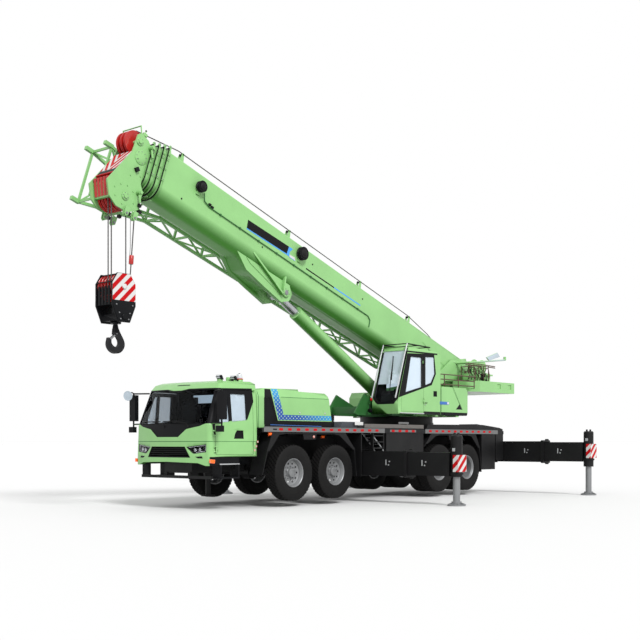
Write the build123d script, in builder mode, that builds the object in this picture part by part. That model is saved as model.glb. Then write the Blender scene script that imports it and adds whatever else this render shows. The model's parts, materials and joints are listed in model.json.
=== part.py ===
from build123d import *
import math
import os

os.makedirs("parts", exist_ok=True)

# Truck-mounted telescopic crane, standing on its four outrigger pads.
# Millimetres. +X is the driving direction, +Y the vehicle's left, +Z up; z = 0 is the ground under the pads.

# ---------------------------------------------------------------- wheels and axles
axle_x = {"1": 2670, "2": 1250, "3": -2935, "4": -4230}
tyre_radius = 615
tyre_width = 315
tyre_bead = 318
wheel_lift = 125
hub_z = tyre_radius + wheel_lift
half_width = 1400
wheel_y = half_width - tyre_width / 2
twin_pitch = 350
twin_disc_y = wheel_y - 135
rim_gap = 0.4
seat_gap = 0.3
hand_holes = 10
hand_hole_radius = 24
hand_hole_circle = 215
kingpin_y = 1060
kingpin_radius = 40
knuckle_height = 300
beam_half_height = 70
beam_width = 150
pivot_gap = 0.5

# ---------------------------------------------------------------- chassis frame
girder_half = 430
girder_top = 1560
girder_bottom = 900
girder_wall = 20
girder_front = 3560
nose_front = 4800
nose_top = 1075
nose_bottom = 760
slew_x = -2915
pedestal_radius = 985
ring_bottom = 1920
ring_top = 2070
ring_bore = 780
slew_gap = 0.5

# ---------------------------------------------------------------- outriggers
front_beam_z = 915
rear_beam_z = 1150
stage1_width = 330
stage1_height = 570
stage_wall = 15
slide_gap = 10
box_wall = 20
box_half = 970
collar_length = 80
collar_lip = 28
lip_radius = 40
lug_offset = 80
lug_radius = 34
pad_ribs = 8
stage1_length = 1990
stage1_end = 2640
stage2_length = 2000
leg_y = 3885
housing_radius = 130
housing_cap = 25
jack_radius = 79
jack_gap = 0.8
jack_lift = 500
pad_radius = 205
pad_thick = 35
board_half_width = 165
board_height = 375
# leg's name, leg's x, side, height of its beams, top of its jack housing, foot of its jack housing
legs = [
    ("front_left", 70, 1, front_beam_z, 1570, 640),
    ("front_right", -360, -1, front_beam_z, 1570, 640),
    ("rear_left", -6260, 1, rear_beam_z, 1700, 760),
    ("rear_right", -5830, -1, rear_beam_z, 1700, 760),
]

# ---------------------------------------------------------------- deck
deck_top = 1720
deck_thick = 25
deck_front = 3690
deck_rear_left = -6060
deck_rear_right = -5640
rail_height = 92
hump_front = -2330
hump_top = 1880

# ---------------------------------------------------------------- carrier cab
cab_rear = 3700
cab_floor = 1110
bumper_foot = 925
cab_wall = 40
cab_waist = 1760
cab_roof = 2690
cab_eaves = 2530
cab_crown = 2640
cab_corner_radius = 110
# height, x of the rear wall, x of the corner, x of the bowed front, half width behind, half width in front
cab_rings = [
    (cab_floor, cab_rear, 4960, 5110, 1250, 1165),
    (cab_waist, cab_rear, 4960, 5110, 1250, 1130),
    (cab_eaves, cab_rear, 4660, 4800, 1215, 1065),
    (cab_crown, cab_rear, 4560, 4680, 1195, 1045),
    (cab_roof, cab_rear + 60, 4430, 4540, 1110, 960),
]
hinge_height = 70
hinge_radius = 14
hinge_pin = 7
door_front = 4820
door_rear = 3790
door_bottom = cab_floor + cab_wall
door_top = 2500
door_gap = 6

mirror_x = 4860
mirror_y = 1390

# ---------------------------------------------------------------- engine hood
hood_front = 3640
hood_rear = 1290
hood_tail = 1180
hood_half = 1200
hood_top = 2570
hood_wall = 20
hood_step = 2246
hood_step_drop = 35
hood_shoulder = 2390
hood_lean = 110
hood_recess = 6

# ---------------------------------------------------------------- superstructure
plate_inner = 430
plate_thick = 40
base_plate_top = 2110
tail_end = -6860
tail_top = 3400
pivot_x = -5355
pivot_z = 3555
pivot_radius = 90
counterweight_bottom = 2800
counterweight_top = 3100
counterweight_half = 1200
op_cab_inner = 560
op_cab_outer = 1360
op_cab_wall = 35
op_floor = 2112
op_roof = 3790
op_door_rear = -2250
op_hinge_x = op_door_rear + 3

# ---------------------------------------------------------------- boom
boom_angle = math.radians(18.5)
boom_half = 400
boom_up = 210
boom_down = 850
boom_wall = 10
section_step = 30
base_end = 11330
base_start = -350
collar_pitch = 112
collar_thick = 74
head_start = 11790
head_plate = 35
head_half = 300
sheave_radius = 250
sheave_width = 50
groove_depth = 18
groove_half = 11
sheave_along = 12070
sheave_perp = -1160
upper_sheave_along = 12080
upper_sheave_perp = 60
upper_sheave_radius = 235
eye_along = 7183
eye_perp = -1017
foot_x = -2400
foot_z = 2520
barrel_radius = 165
barrel_bore = 130
rod_radius = 100
barrel_length = 4020

boom_dir = Vector(math.cos(boom_angle), 0, math.sin(boom_angle))
boom_normal = Vector(-math.sin(boom_angle), 0, math.cos(boom_angle))
pivot = Vector(pivot_x, 0, pivot_z)


def on_boom(along, perp, y=0.0):
    """The point at a distance along the boom and a height square to it, from the boom's pivot."""
    return pivot + boom_dir * along + boom_normal * perp + Vector(0, y, 0)


# ---------------------------------------------------------------- shared forms
def block(x, y, z, mode=Mode.ADD):
    """A box between the (low, high) pairs x, y and z."""
    spans = [(min(pair), max(pair)) for pair in (x, y, z)]
    with Locations(tuple((low + high) / 2 for low, high in spans)):
        Box(*(high - low for low, high in spans), mode=mode)


def side_plate(points, y, mode=Mode.ADD, inset=0):
    """An (x, z) outline, drawn in by the inset, with its faces at the two y values."""
    with BuildSketch(Plane(origin=(0, max(y), 0), x_dir=(1, 0, 0), z_dir=(0, -1, 0))) as face:
        Polygon(*points, align=None)
        if inset:
            offset(amount=-inset, kind=Kind.INTERSECTION)
    extrude(face.sketch, amount=max(y) - min(y), mode=mode)


def front_plate(points, x, mode=Mode.ADD, inset=0):
    """A (y, z) outline, drawn in by the inset, with its faces at the two x values."""
    with BuildSketch(Plane.YZ.offset(min(x))) as face:
        Polygon(*points, align=None)
        if inset:
            offset(amount=-inset, kind=Kind.INTERSECTION)
    extrude(face.sketch, amount=max(x) - min(x), mode=mode)


def plan_plate(points, z, mode=Mode.ADD):
    """An (x, y) outline with its faces at the two z values."""
    with BuildSketch(Plane.XY.offset(min(z))) as face:
        Polygon(*points, align=None)
    extrude(face.sketch, amount=max(z) - min(z), mode=mode)


def boom_plate(points, y, mode=Mode.ADD):
    """An (along, perp) outline in the boom's frame, with its faces at the two y values."""
    start = Vector(pivot_x, max(y), pivot_z)
    with BuildSketch(Plane(origin=start, x_dir=boom_dir, z_dir=(0, -1, 0))) as face:
        Polygon(*points, align=None)
    extrude(face.sketch, amount=max(y) - min(y), mode=mode)


def round_bar(start, end, radius, mode=Mode.ADD):
    """A round bar between two points."""
    start, end = Vector(*start), Vector(*end)
    with BuildSketch(Plane(origin=start, z_dir=end - start)) as face:
        Circle(radius)
    extrude(face.sketch, amount=(end - start).length, mode=mode)


def square_bar(start, end, width):
    """A square bar between two points."""
    start, end = Vector(*start), Vector(*end)
    with BuildSketch(Plane(origin=start, z_dir=end - start)) as face:
        Rectangle(width, width)
    extrude(face.sketch, amount=(end - start).length)


def cross_bar(x, z, y, radius, mode=Mode.ADD):
    """A round bar along Y."""
    round_bar((x, min(y), z), (x, max(y), z), radius, mode)


# ---------------------------------------------------------------- wheels
def turned(points, x, side):
    """A (y, radius) outline turned about the hub at x, on the left (side 1) or right (side -1)."""
    with BuildSketch(Plane(origin=(x, 0, hub_z), x_dir=(0, side, 0), z_dir=(side, 0, 0))) as face:
        Polygon(*points, align=None)
    revolve(face.sketch, axis=Axis((x, 0, hub_z), (0, 1, 0)))


def tyre_outline(centre_y):
    """Half a tyre's cut outline: bead, wall, shoulder and tread."""
    half = tyre_width / 2
    wall = (tyre_bead + tyre_radius) / 2
    return [
        (centre_y - half + 30, tyre_bead),
        (centre_y - half, wall),
        (centre_y - half + 8, tyre_radius - 45),
        (centre_y - half + 26, tyre_radius),
        (centre_y + half - 26, tyre_radius),
        (centre_y + half - 8, tyre_radius - 45),
        (centre_y + half, wall),
        (centre_y + half - 30, tyre_bead),
    ]


def rim_outline(face_y, back_y, dish_y, hub_y):
    """A dished rim with its disc at dish_y and a hub out to hub_y."""
    rim = tyre_bead - rim_gap
    return [
        (back_y, rim),
        (back_y, rim - 18),
        (dish_y - 10, rim - 40),
        (dish_y - 16, 150),
        (dish_y - 16, 0),
        (hub_y, 0),
        (hub_y, 95),
        (dish_y + 14, 130),
        (dish_y + 14, rim - 60),
        (face_y - 20, rim - 30),
        (face_y, rim - 18),
        (face_y, rim),
    ]


for axle, x in axle_x.items():
    twin = axle in "34"
    disc_y = twin_disc_y if twin else wheel_y + 25
    hub_end = wheel_y + 60 if twin else wheel_y + 95
    rim_face = wheel_y + tyre_width / 2 - 24
    rim_back = wheel_y - tyre_width / 2 + 24 - (twin_pitch if twin else 0)
    for side, sign in (("left", 1), ("right", -1)):
        node = f"wheel_{axle}_{side}"
        with BuildPart() as wheel:
            turned(rim_outline(rim_face, rim_back, disc_y, hub_end), x, sign)
            disc = Plane(origin=(x, sign * (disc_y - 45), hub_z), x_dir=(1, 0, 0), z_dir=(0, sign, 0))
            with BuildSketch(disc):
                with PolarLocations(hand_hole_circle, hand_holes):
                    Circle(hand_hole_radius)
            extrude(amount=90, mode=Mode.SUBTRACT)
            turned(tyre_outline(wheel_y), x, sign)
            if twin:
                turned(tyre_outline(wheel_y - twin_pitch), x, sign)
        wheel.part.label = node
        export_step(wheel.part, f"parts/{node}.step")

# ---------------------------------------------------------------- axles and steering knuckles
spring_y = 500
spring_half = 45
spring_half_length = 560
diff_radius = 155

with BuildPart() as axle_beams:
    for axle, x in axle_x.items():
        steered = axle in "12"
        low, high = hub_z - beam_half_height, hub_z + beam_half_height
        reach = kingpin_y - kingpin_radius - pivot_gap if steered else wheel_y - twin_pitch
        block((x - beam_width / 2, x + beam_width / 2), (-reach, reach), (low, high))
        with BuildSketch(Plane(origin=(x, 0, hub_z), x_dir=(1, 0, 0), z_dir=(0, 1, 0))):
            Circle(diff_radius)
        extrude(amount=120, both=True)
        for sign in (-1, 1):
            # spring pack, clamped on the beam and hung under the girder
            y = (sign * (spring_y - spring_half), sign * (spring_y + spring_half))
            block((x - 130, x + 130), y, (high - 1, high + 60))
            leaf = [
                (x - spring_half_length, girder_bottom - 60),
                (x, high + 10),
                (x + spring_half_length, girder_bottom - 60),
                (x + spring_half_length, girder_bottom - 20),
                (x, high + 70),
                (x - spring_half_length, girder_bottom - 20),
            ]
            side_plate(leaf, y)
            if not steered:
                hub_end = sign * (twin_disc_y - 16 - pivot_gap)
                round_bar((x, sign * reach / 2, hub_z), (x, hub_end, hub_z), 70)
axle_beams.part.label = "axle_beams"
export_step(axle_beams.part, "parts/axle_beams.step")

for axle in "12":
    for side, sign in (("left", 1), ("right", -1)):
        node = f"knuckle_{axle}_{side}"
        x = axle_x[axle]
        with BuildPart() as knuckle:
            with BuildSketch(Plane.XY.offset(hub_z - knuckle_height / 2)):
                with Locations((x, sign * kingpin_y)):
                    Circle(kingpin_radius)
            extrude(amount=knuckle_height)
            spindle_end = wheel_y + 25 - 16 - pivot_gap
            round_bar((x, sign * kingpin_y, hub_z), (x, sign * spindle_end, hub_z), 60)
            round_bar((x, sign * (kingpin_y + 50), hub_z), (x, sign * (kingpin_y + 110), hub_z), 150)
        knuckle.part.label = node
        export_step(knuckle.part, f"parts/{node}.step")

# ---------------------------------------------------------------- chassis frame
stage1_gap_half = stage1_width / 2 + slide_gap
box_half_width = stage1_gap_half + box_wall
box_half_height = stage1_height / 2 + slide_gap + box_wall
girder_rear = legs[2][1] - box_half_width

front_jack_x = 3930
front_jack_z = 235
front_jack_radius = 55
shoe_length = 150
shoe_rise = slide_gap - seat_gap

with BuildPart() as chassis_frame:
    block((girder_rear, girder_front), (-girder_half, girder_half), (girder_bottom, girder_top))
    inner = girder_half - girder_wall
    block(
        (girder_rear + girder_wall, girder_front - girder_wall),
        (-inner, inner),
        (girder_bottom + girder_wall, girder_top - girder_wall),
        Mode.SUBTRACT,
    )
    # the nose steps down below the driver's floor
    block((girder_front - 300, nose_front), (-girder_half, girder_half), (nose_bottom, nose_top))
    # hangers of the leaf springs
    for x in axle_x.values():
        for end in (-1, 1):
            for sign in (-1, 1):
                y = (sign * (spring_y - spring_half), sign * (spring_y + spring_half))
                hang = x + end * (spring_half_length - 40)
                block((hang - 45, hang + 45), y, (girder_bottom - 20 + seat_gap, girder_bottom + 90))
                arm = (sign * (girder_half - 5), y[1])
                block((hang - 45, hang + 45), arm, (girder_bottom + 10, girder_bottom + 90))
    # pedestal of the slewing ring
    with BuildSketch(Plane.XY.offset(girder_top - 5)):
        with Locations((slew_x, 0)):
            Circle(pedestal_radius)
    extrude(amount=ring_bottom - girder_top + 5)
    # outrigger boxes, two tubes side by side at each end
    for (_, left_x, _, z, _, _), (_, right_x, _, _, _, _) in (legs[:2], legs[2:]):
        low, high = min(left_x, right_x), max(left_x, right_x)
        y = (-box_half, box_half)
        block((low - box_half_width, high + box_half_width), y, (z - box_half_height, z + box_half_height))
        for x in (left_x, right_x):
            tube = stage1_gap_half
            height = stage1_height / 2 + slide_gap
            across = (x - tube, x + tube)
            block(across, (-box_half - 1, box_half + 1), (z - height, z + height), Mode.SUBTRACT)
    # sliding shoes in the mouth each beam leaves by
    for _, x, side, z, _, _ in legs:
        low = z - stage1_height / 2 - slide_gap
        shoe = (side * (box_half - shoe_length), side * box_half)
        block((x - 120, x + 120), shoe, (low - 1, low + shoe_rise))
    # front underrun bar on its two brackets
    block((4820, 4880), (-1095, 1095), (650, 710))
    for sign in (-1, 1):
        block((4600, 4825), (sign * 330, sign * 410), (655, nose_bottom + 20))
    # front jack's cylinder under the nose
    round_bar((front_jack_x, 0, 620), (front_jack_x, 0, nose_bottom + 5), 95)
    bore = front_jack_radius + jack_gap
    round_bar((front_jack_x, 0, 619), (front_jack_x, 0, nose_top - 60), bore, Mode.SUBTRACT)
    # rubber mounts of the cab
    for x in (4050, 4650):
        for y in (-320, 320):
            block((x - 60, x + 60), (y - 80, y + 80), (nose_top - 5, cab_floor - seat_gap))
chassis_frame.part.label = "chassis_frame"
export_step(chassis_frame.part, "parts/chassis_frame.step")

with BuildPart() as front_jack:
    round_bar((front_jack_x, 0, front_jack_z + 20), (front_jack_x, 0, 900), front_jack_radius)
    round_bar((front_jack_x, 0, front_jack_z), (front_jack_x, 0, front_jack_z + 25), 150)
front_jack.part.label = "front_jack"
export_step(front_jack.part, "parts/front_jack.step")

with BuildPart() as slew_ring:
    with BuildSketch(Plane.XY.offset(ring_bottom)):
        with Locations((slew_x, 0)):
            Circle(pedestal_radius - 20)
            Circle(ring_bore, mode=Mode.SUBTRACT)
    extrude(amount=ring_top - ring_bottom)
slew_ring.part.label = "slew_ring"
export_step(slew_ring.part, "parts/slew_ring.step")

# ---------------------------------------------------------------- outrigger beams and jacks
for name, leg_x, sign, beam_z, housing_top, housing_foot in legs:
    half1, half2 = stage1_width / 2, stage1_width / 2 - stage_wall - slide_gap
    tall1, tall2 = stage1_height / 2, stage1_height / 2 - stage_wall - slide_gap
    inner1 = (leg_x - half1 + stage_wall, leg_x + half1 - stage_wall)
    with BuildPart() as stage1:
        y = (sign * (stage1_end - stage1_length), sign * stage1_end)
        block((leg_x - half1, leg_x + half1), y, (beam_z - tall1, beam_z + tall1))
        collar = (sign * (stage1_end - collar_length), sign * stage1_end)
        lip_x = half1 + collar_lip
        lip_z = tall1 + collar_lip
        with BuildSketch(Plane.XZ.offset(-max(collar))):
            with Locations((leg_x, beam_z)):
                RectangleRounded(2 * lip_x, 2 * lip_z, lip_radius)
        extrude(amount=collar_length)
        # lugs on top of and below the mouth
        for z in (beam_z - lip_z, beam_z + lip_z):
            cross_bar(leg_x - lug_offset, z, collar, lug_radius)
        bore_y = (sign * (stage1_end - stage1_length + stage_wall), sign * (stage1_end + 1))
        block(inner1, bore_y, (beam_z - tall1 + stage_wall, beam_z + tall1 - stage_wall), Mode.SUBTRACT)
        shoe_x = (leg_x - 120, leg_x + 120)
        # sliding shoes: on top at the inner end, and in the mouth under the next beam
        block(shoe_x, (y[0], y[0] + sign * shoe_length), (beam_z + tall1 - 1, beam_z + tall1 + shoe_rise))
        low = beam_z - tall1 + stage_wall
        block(shoe_x, (y[1] - sign * shoe_length, y[1]), (low - 1, low + shoe_rise))
    stage1.part.label = f"outrigger_{name}_beam"
    export_step(stage1.part, f"parts/outrigger_{name}_beam.step")

    leg_top = sign * leg_y
    with BuildPart() as stage2:
        y = (sign * (leg_y - stage2_length), sign * (leg_y - housing_radius + 20))
        block((leg_x - half2, leg_x + half2), y, (beam_z - tall2, beam_z + tall2))
        bore = (y[0] + sign * stage_wall, y[1] - sign * 200)
        hollow_x = (leg_x - half2 + stage_wall, leg_x + half2 - stage_wall)
        block(hollow_x, bore, (beam_z - tall2 + stage_wall, beam_z + tall2 - stage_wall), Mode.SUBTRACT)
        block(shoe_x, (y[0], y[0] + sign * shoe_length), (beam_z + tall2 - 1, beam_z + tall2 + shoe_rise))
        with BuildSketch(Plane.XY.offset(housing_foot)):
            with Locations((leg_x, leg_top)):
                Circle(housing_radius)
        extrude(amount=housing_top - housing_foot)
        fillet(stage2.edges().group_by(Axis.Z)[-1], 40)
        block(
            (leg_x - half2, leg_x + half2),
            (leg_top, sign * (leg_y + housing_radius + 6)),
            (beam_z - 120, beam_z + 120),
        )
        bore_radius = jack_radius + jack_gap
        bore_top = (leg_x, leg_top, housing_top - housing_cap)
        round_bar((leg_x, leg_top, housing_foot - 1), bore_top, bore_radius, Mode.SUBTRACT)
        board_y = sign * (leg_y + housing_radius + 5)
        block(
            (leg_x - board_half_width, leg_x + board_half_width),
            (board_y, board_y + sign * 8),
            (beam_z + 25 - board_height / 2, beam_z + 25 + board_height / 2),
        )
    stage2.part.label = f"outrigger_{name}_arm"
    export_step(stage2.part, f"parts/outrigger_{name}_arm.step")

    with BuildPart() as jack:
        rod_top = housing_top - housing_cap - jack_lift - slide_gap
        round_bar((leg_x, leg_top, pad_thick - 5), (leg_x, leg_top, rod_top), jack_radius)
        round_bar((leg_x, leg_top, 0), (leg_x, leg_top, pad_thick), pad_radius)
        round_bar((leg_x, leg_top, pad_thick - 1), (leg_x, leg_top, pad_thick + 60), jack_radius + 35)
        # ribs of the pad, from the boss down to the rim
        foot = pad_thick - 1
        rim = pad_radius - 12
        for turn in range(pad_ribs):
            angle = math.tau * turn / pad_ribs
            out = (math.cos(angle), math.sin(angle), 0)
            across = (math.sin(angle), -math.cos(angle), 0)
            with BuildSketch(Plane(origin=(leg_x, leg_top, 0), x_dir=out, z_dir=across)) as rib:
                Polygon((60, foot), (rim, foot), (rim, foot + 9), (60, foot + 55), align=None)
            extrude(rib.sketch, amount=8, both=True)
    jack.part.label = f"jack_{name}"
    export_step(jack.part, f"parts/jack_{name}.step")

# ---------------------------------------------------------------- deck, fenders and side boxes
hole_radius = pedestal_radius + 8
with BuildPart() as deck:
    rear = {1: deck_rear_left, -1: deck_rear_right}
    for sign in (1, -1):
        x = (rear[sign], deck_front)
        block(x, (sign * (girder_half + 2), sign * (half_width - 10)), (deck_top - deck_thick, deck_top))
        block(x, (sign * (half_width - 12), sign * half_width), (deck_top - rail_height, deck_top))
        # raised rear platform beside the pedestal
        hump = [
            (hump_front, deck_top - 1),
            (hump_front - 70, hump_top - 20),
            (-5000, hump_top),
            (rear[sign] + 200, hump_top - 70),
            (rear[sign] + 15, hump_top - 110),
            (rear[sign] + 15, deck_top - 1),
        ]
        side_plate(hump, (sign * (girder_half + 60), sign * (half_width - 20)))
        # chequered step beside the turntable's front
        shelf = (sign * (girder_half + 60), sign * (half_width - 12))
        block((-2230, 200), shelf, (deck_top - 1, deck_top + 30))
    # the girder's top cover
    block((1250, deck_front), (-girder_half - 4, girder_half + 4), (deck_top - deck_thick, deck_top))
    block((-1500, 1250), (-girder_half - 4, girder_half + 4), (deck_top - deck_thick, deck_top))
    block((deck_rear_right, -4300), (-girder_half - 4, girder_half + 4), (deck_top - deck_thick, deck_top))
    with BuildSketch(Plane.XY.offset(girder_top)):
        with Locations((slew_x, 0)):
            Circle(hole_radius)
    extrude(amount=hump_top, mode=Mode.SUBTRACT)
    # brackets that carry the deck on the girder
    for x in (3300, 2000, 700, -1200, -4700, -5500):
        crossbeam = (-girder_half - 200, girder_half + 200)
        block((x - 30, x + 30), crossbeam, (girder_top, deck_top - deck_thick + 1))
deck.part.label = "deck"
export_step(deck.part, "parts/deck.step")

fender_top = deck_top - rail_height
fender_thick = 22
fender_inner = 1010
# arches: front foot, front shoulder, front crown, rear crown, rear shoulder, rear foot
arches = {
    "front": [(3665, 716), (3500, 1250), (3304, 1590), (986, 1590), (600, 1270), (520, 619)],
    "rear": [(-2236, 1290), (-2330, 1400), (-2590, 1590), (-4567, 1590), (-4800, 1280), (-4905, 600)],
}
with BuildPart() as fenders:
    for points in arches.values():
        for sign in (1, -1):
            skin = [(x + fender_thick, z) for x, z in points[:3]]
            skin += [(x, z + fender_thick) for x, z in points[2:4]]
            skin += [(x - fender_thick, z) for x, z in points[3:]]
            side_plate(skin + points[::-1], (sign * fender_inner, sign * (half_width - 5)))
            # tapered lamp bracket in the middle
            middle = (points[2][0] + points[3][0]) / 2
            eaves, drop = fender_top - seat_gap, 160
            foot = eaves - drop
            plate = [(middle - 240, eaves), (middle - 200, foot), (middle + 200, foot), (middle + 240, eaves)]
            side_plate(plate, (sign * (half_width - 45), sign * (half_width - 15)))
            # bent struts that carry the arch from the deck rail
            for end, direction in ((0, 1), (-1, -1)):
                shoulder = points[1] if end == 0 else points[4]
                crown = points[2][0] if end == 0 else points[3][0]
                strut = [
                    (crown + direction * 60, eaves),
                    (crown - direction * 330, eaves),
                    (crown - direction * 300, eaves - 45),
                    (crown - direction * 150, eaves - 60),
                    (shoulder[0] - direction * 40, shoulder[1] - 30),
                    (shoulder[0] + direction * 40, shoulder[1] - 30),
                ]
                side_plate(strut, (sign * (half_width - 30), sign * (half_width - 4)))
            # struts up to the deck
            for x in (points[2][0] - 200, points[3][0] + 200):
                block((x - 40, x + 40), (sign * 1100, sign * 1200), (points[2][1] + 5, deck_top - deck_thick))
fenders.part.label = "fenders"
export_step(fenders.part, "parts/fenders.step")

box_top = deck_top - deck_thick - seat_gap
rear_box_end = legs[3][1] + stage1_width / 2 + collar_lip + slide_gap
with BuildPart() as side_boxes:
    for sign in (1, -1):
        outer = sign * (half_width - 14)
        inner = sign * (box_half + 15)
        block((-2200, -650), (inner, outer), (1165, box_top))
        block((rear_box_end, -4935), (inner, outer), (660, box_top))
        # guard flap behind the front arch
        block((300, 330), (sign * 1010, outer), (610, box_top))
    # corner boxes at the tail, clear of each retracted leg
    inner = box_half + seat_gap
    block((deck_rear_left, rear_box_end - 40), (inner, half_width - 14), (916, box_top))
    block((girder_rear, deck_rear_left - 10), (-half_width + 14, -inner), (916, 1590))
    # access ladder on the left
    for z in (1250, 1400, 1550):
        block((-575, -135), (1180, half_width - 20), (z, z + 30))
    for x in (-575, -165):
        block((x, x + 30), (1300, half_width - 20), (1240, box_top))
side_boxes.part.label = "side_boxes"
export_step(side_boxes.part, "parts/side_boxes.step")

# ---------------------------------------------------------------- carrier cab
def cab_ring(z, inset):
    """The cab's plan outline at a height, drawn in by the inset."""
    for low, high in zip(cab_rings, cab_rings[1:]):
        if z <= high[0]:
            break
    share = (z - low[0]) / (high[0] - low[0])
    rear, corner, bow, behind, ahead = (a + (b - a) * share for a, b in zip(low[1:], high[1:]))
    with BuildSketch(Plane.XY.offset(z)) as face:
        with BuildLine():
            ThreePointArc((corner, -ahead), (bow, 0), (corner, ahead))
            Polyline((corner, ahead), (rear, behind), (rear, -behind), (corner, -ahead))
        make_face()
        fillet(face.vertices().group_by(Axis.X)[-1], cab_corner_radius)
        if inset:
            offset(amount=-inset, kind=Kind.INTERSECTION)
    return face.sketch


def cab_form(inset, mode=Mode.ADD):
    """The cab's closed body, every face moved in by the inset."""
    heights = [cab_floor + inset, cab_waist, cab_eaves, cab_crown, cab_roof - inset]
    for low, high in zip(heights, heights[1:]):
        loft([cab_ring(low, inset), cab_ring(high, inset)], ruled=True, mode=mode)


def hinge_leaf(x, y, z, leaf_x, leaf_y):
    """A door's half of a hinge: a barrel about the upright axis at (x, y), on its leaf."""
    block((x, leaf_x), (y, leaf_y), (z, z + hinge_height))
    round_bar((x, y, z), (x, y, z + hinge_height), hinge_radius)
    round_bar((x, y, z - 1), (x, y, z + hinge_height + 1), hinge_pin + pivot_gap, Mode.SUBTRACT)


def hinge_pins(x, y, z, leaf_x, leaf_y):
    """The frame's half of a hinge: two leaves with the pin between them."""
    for low in (z - 30, z + hinge_height + pivot_gap):
        high = low + 30 - pivot_gap
        block((x, leaf_x), (y, leaf_y), (low, high))
        round_bar((x, y, low), (x, y, high), hinge_radius)
    round_bar((x, y, z - 20), (x, y, z + hinge_height + 20), hinge_pin)


cab_hinge_x = 4823
cab_hinge_y = 1196
cab_hinge_z = (1230, 1560)
op_hinge_y = 1376
op_hinge_z = (2420, 3400)

door_outline = [
    (door_rear, door_bottom),
    (door_front, door_bottom),
    (door_front, cab_waist),
    (4570, door_top),
    (door_rear, door_top),
]
door_window = [
    (door_rear + 190, 1870),
    (4360, 1835),
    (4360, door_top - 90),
    (door_rear + 190, door_top - 90),
]
quarter_top = door_top - 90
quarter_window = [
    (4440, 1830), (4690, 1810), (4690, 1930), (4560, 2320), (4510, quarter_top), (4440, quarter_top),
]
handle_outline = [(4325, 1480), (4060, 1480), (4070, 1655), (4240, 1655), (4290, 1590)]
handle_depth = 25
windscreen = [
    (-1055, 1800), (1055, 1800), (1000, 2500), (320, 2500),
    (110, 2470), (-110, 2470), (-320, 2500), (-1000, 2500),
]
pane_outer = 14
pane_inner = 20
# the dark panel below the windscreen, the grille, the headlights and the fog lamps, as (y, z) outlines
nose_panel = [
    (-1030, 1790), (-900, 1740), (-560, 1680), (-330, 1516),
    (330, 1516), (560, 1680), (900, 1740), (1030, 1790),
]
nose_depth = 8
grille = [(-515, 1314), (515, 1314), (660, 1094), (-660, 1094)]
grille_depth = 12
slat_pitch = 44
slat_height = 20
headlight = [(560, 1312), (1060, 1366), (1060, 1204), (760, 1168), (700, 1190)]
fog_lamp = [(790, 1112), (960, 1122), (985, 1076), (860, 1076)]
lamp_depth = 26
lens_depth = 5
lens_thick = 6
front_span = (4700, 5200)



def mirrored(outline):
    """A (y, z) outline on the vehicle's other side."""
    return [(-y, z) for y, z in outline]


def cab_layer(outline, outer, inner, x=front_span, inset=0):
    """The layer of the cab's skin between two depths, within a (y, z) outline seen from the front."""
    with BuildPart() as layer:
        cab_form(outer)
        cab_form(inner, Mode.SUBTRACT)
        front_plate(outline, x, Mode.INTERSECT, inset)
    return layer.part


with BuildPart() as grille_slats:
    add(cab_layer(grille, grille_depth, cab_wall - 6, inset=-1))
    low = grille[-1][1] + slat_height
    while low < grille[0][1]:
        block(front_span, (-700, 700), (low, low + slat_pitch - slat_height), Mode.SUBTRACT)
        low += slat_pitch

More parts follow.
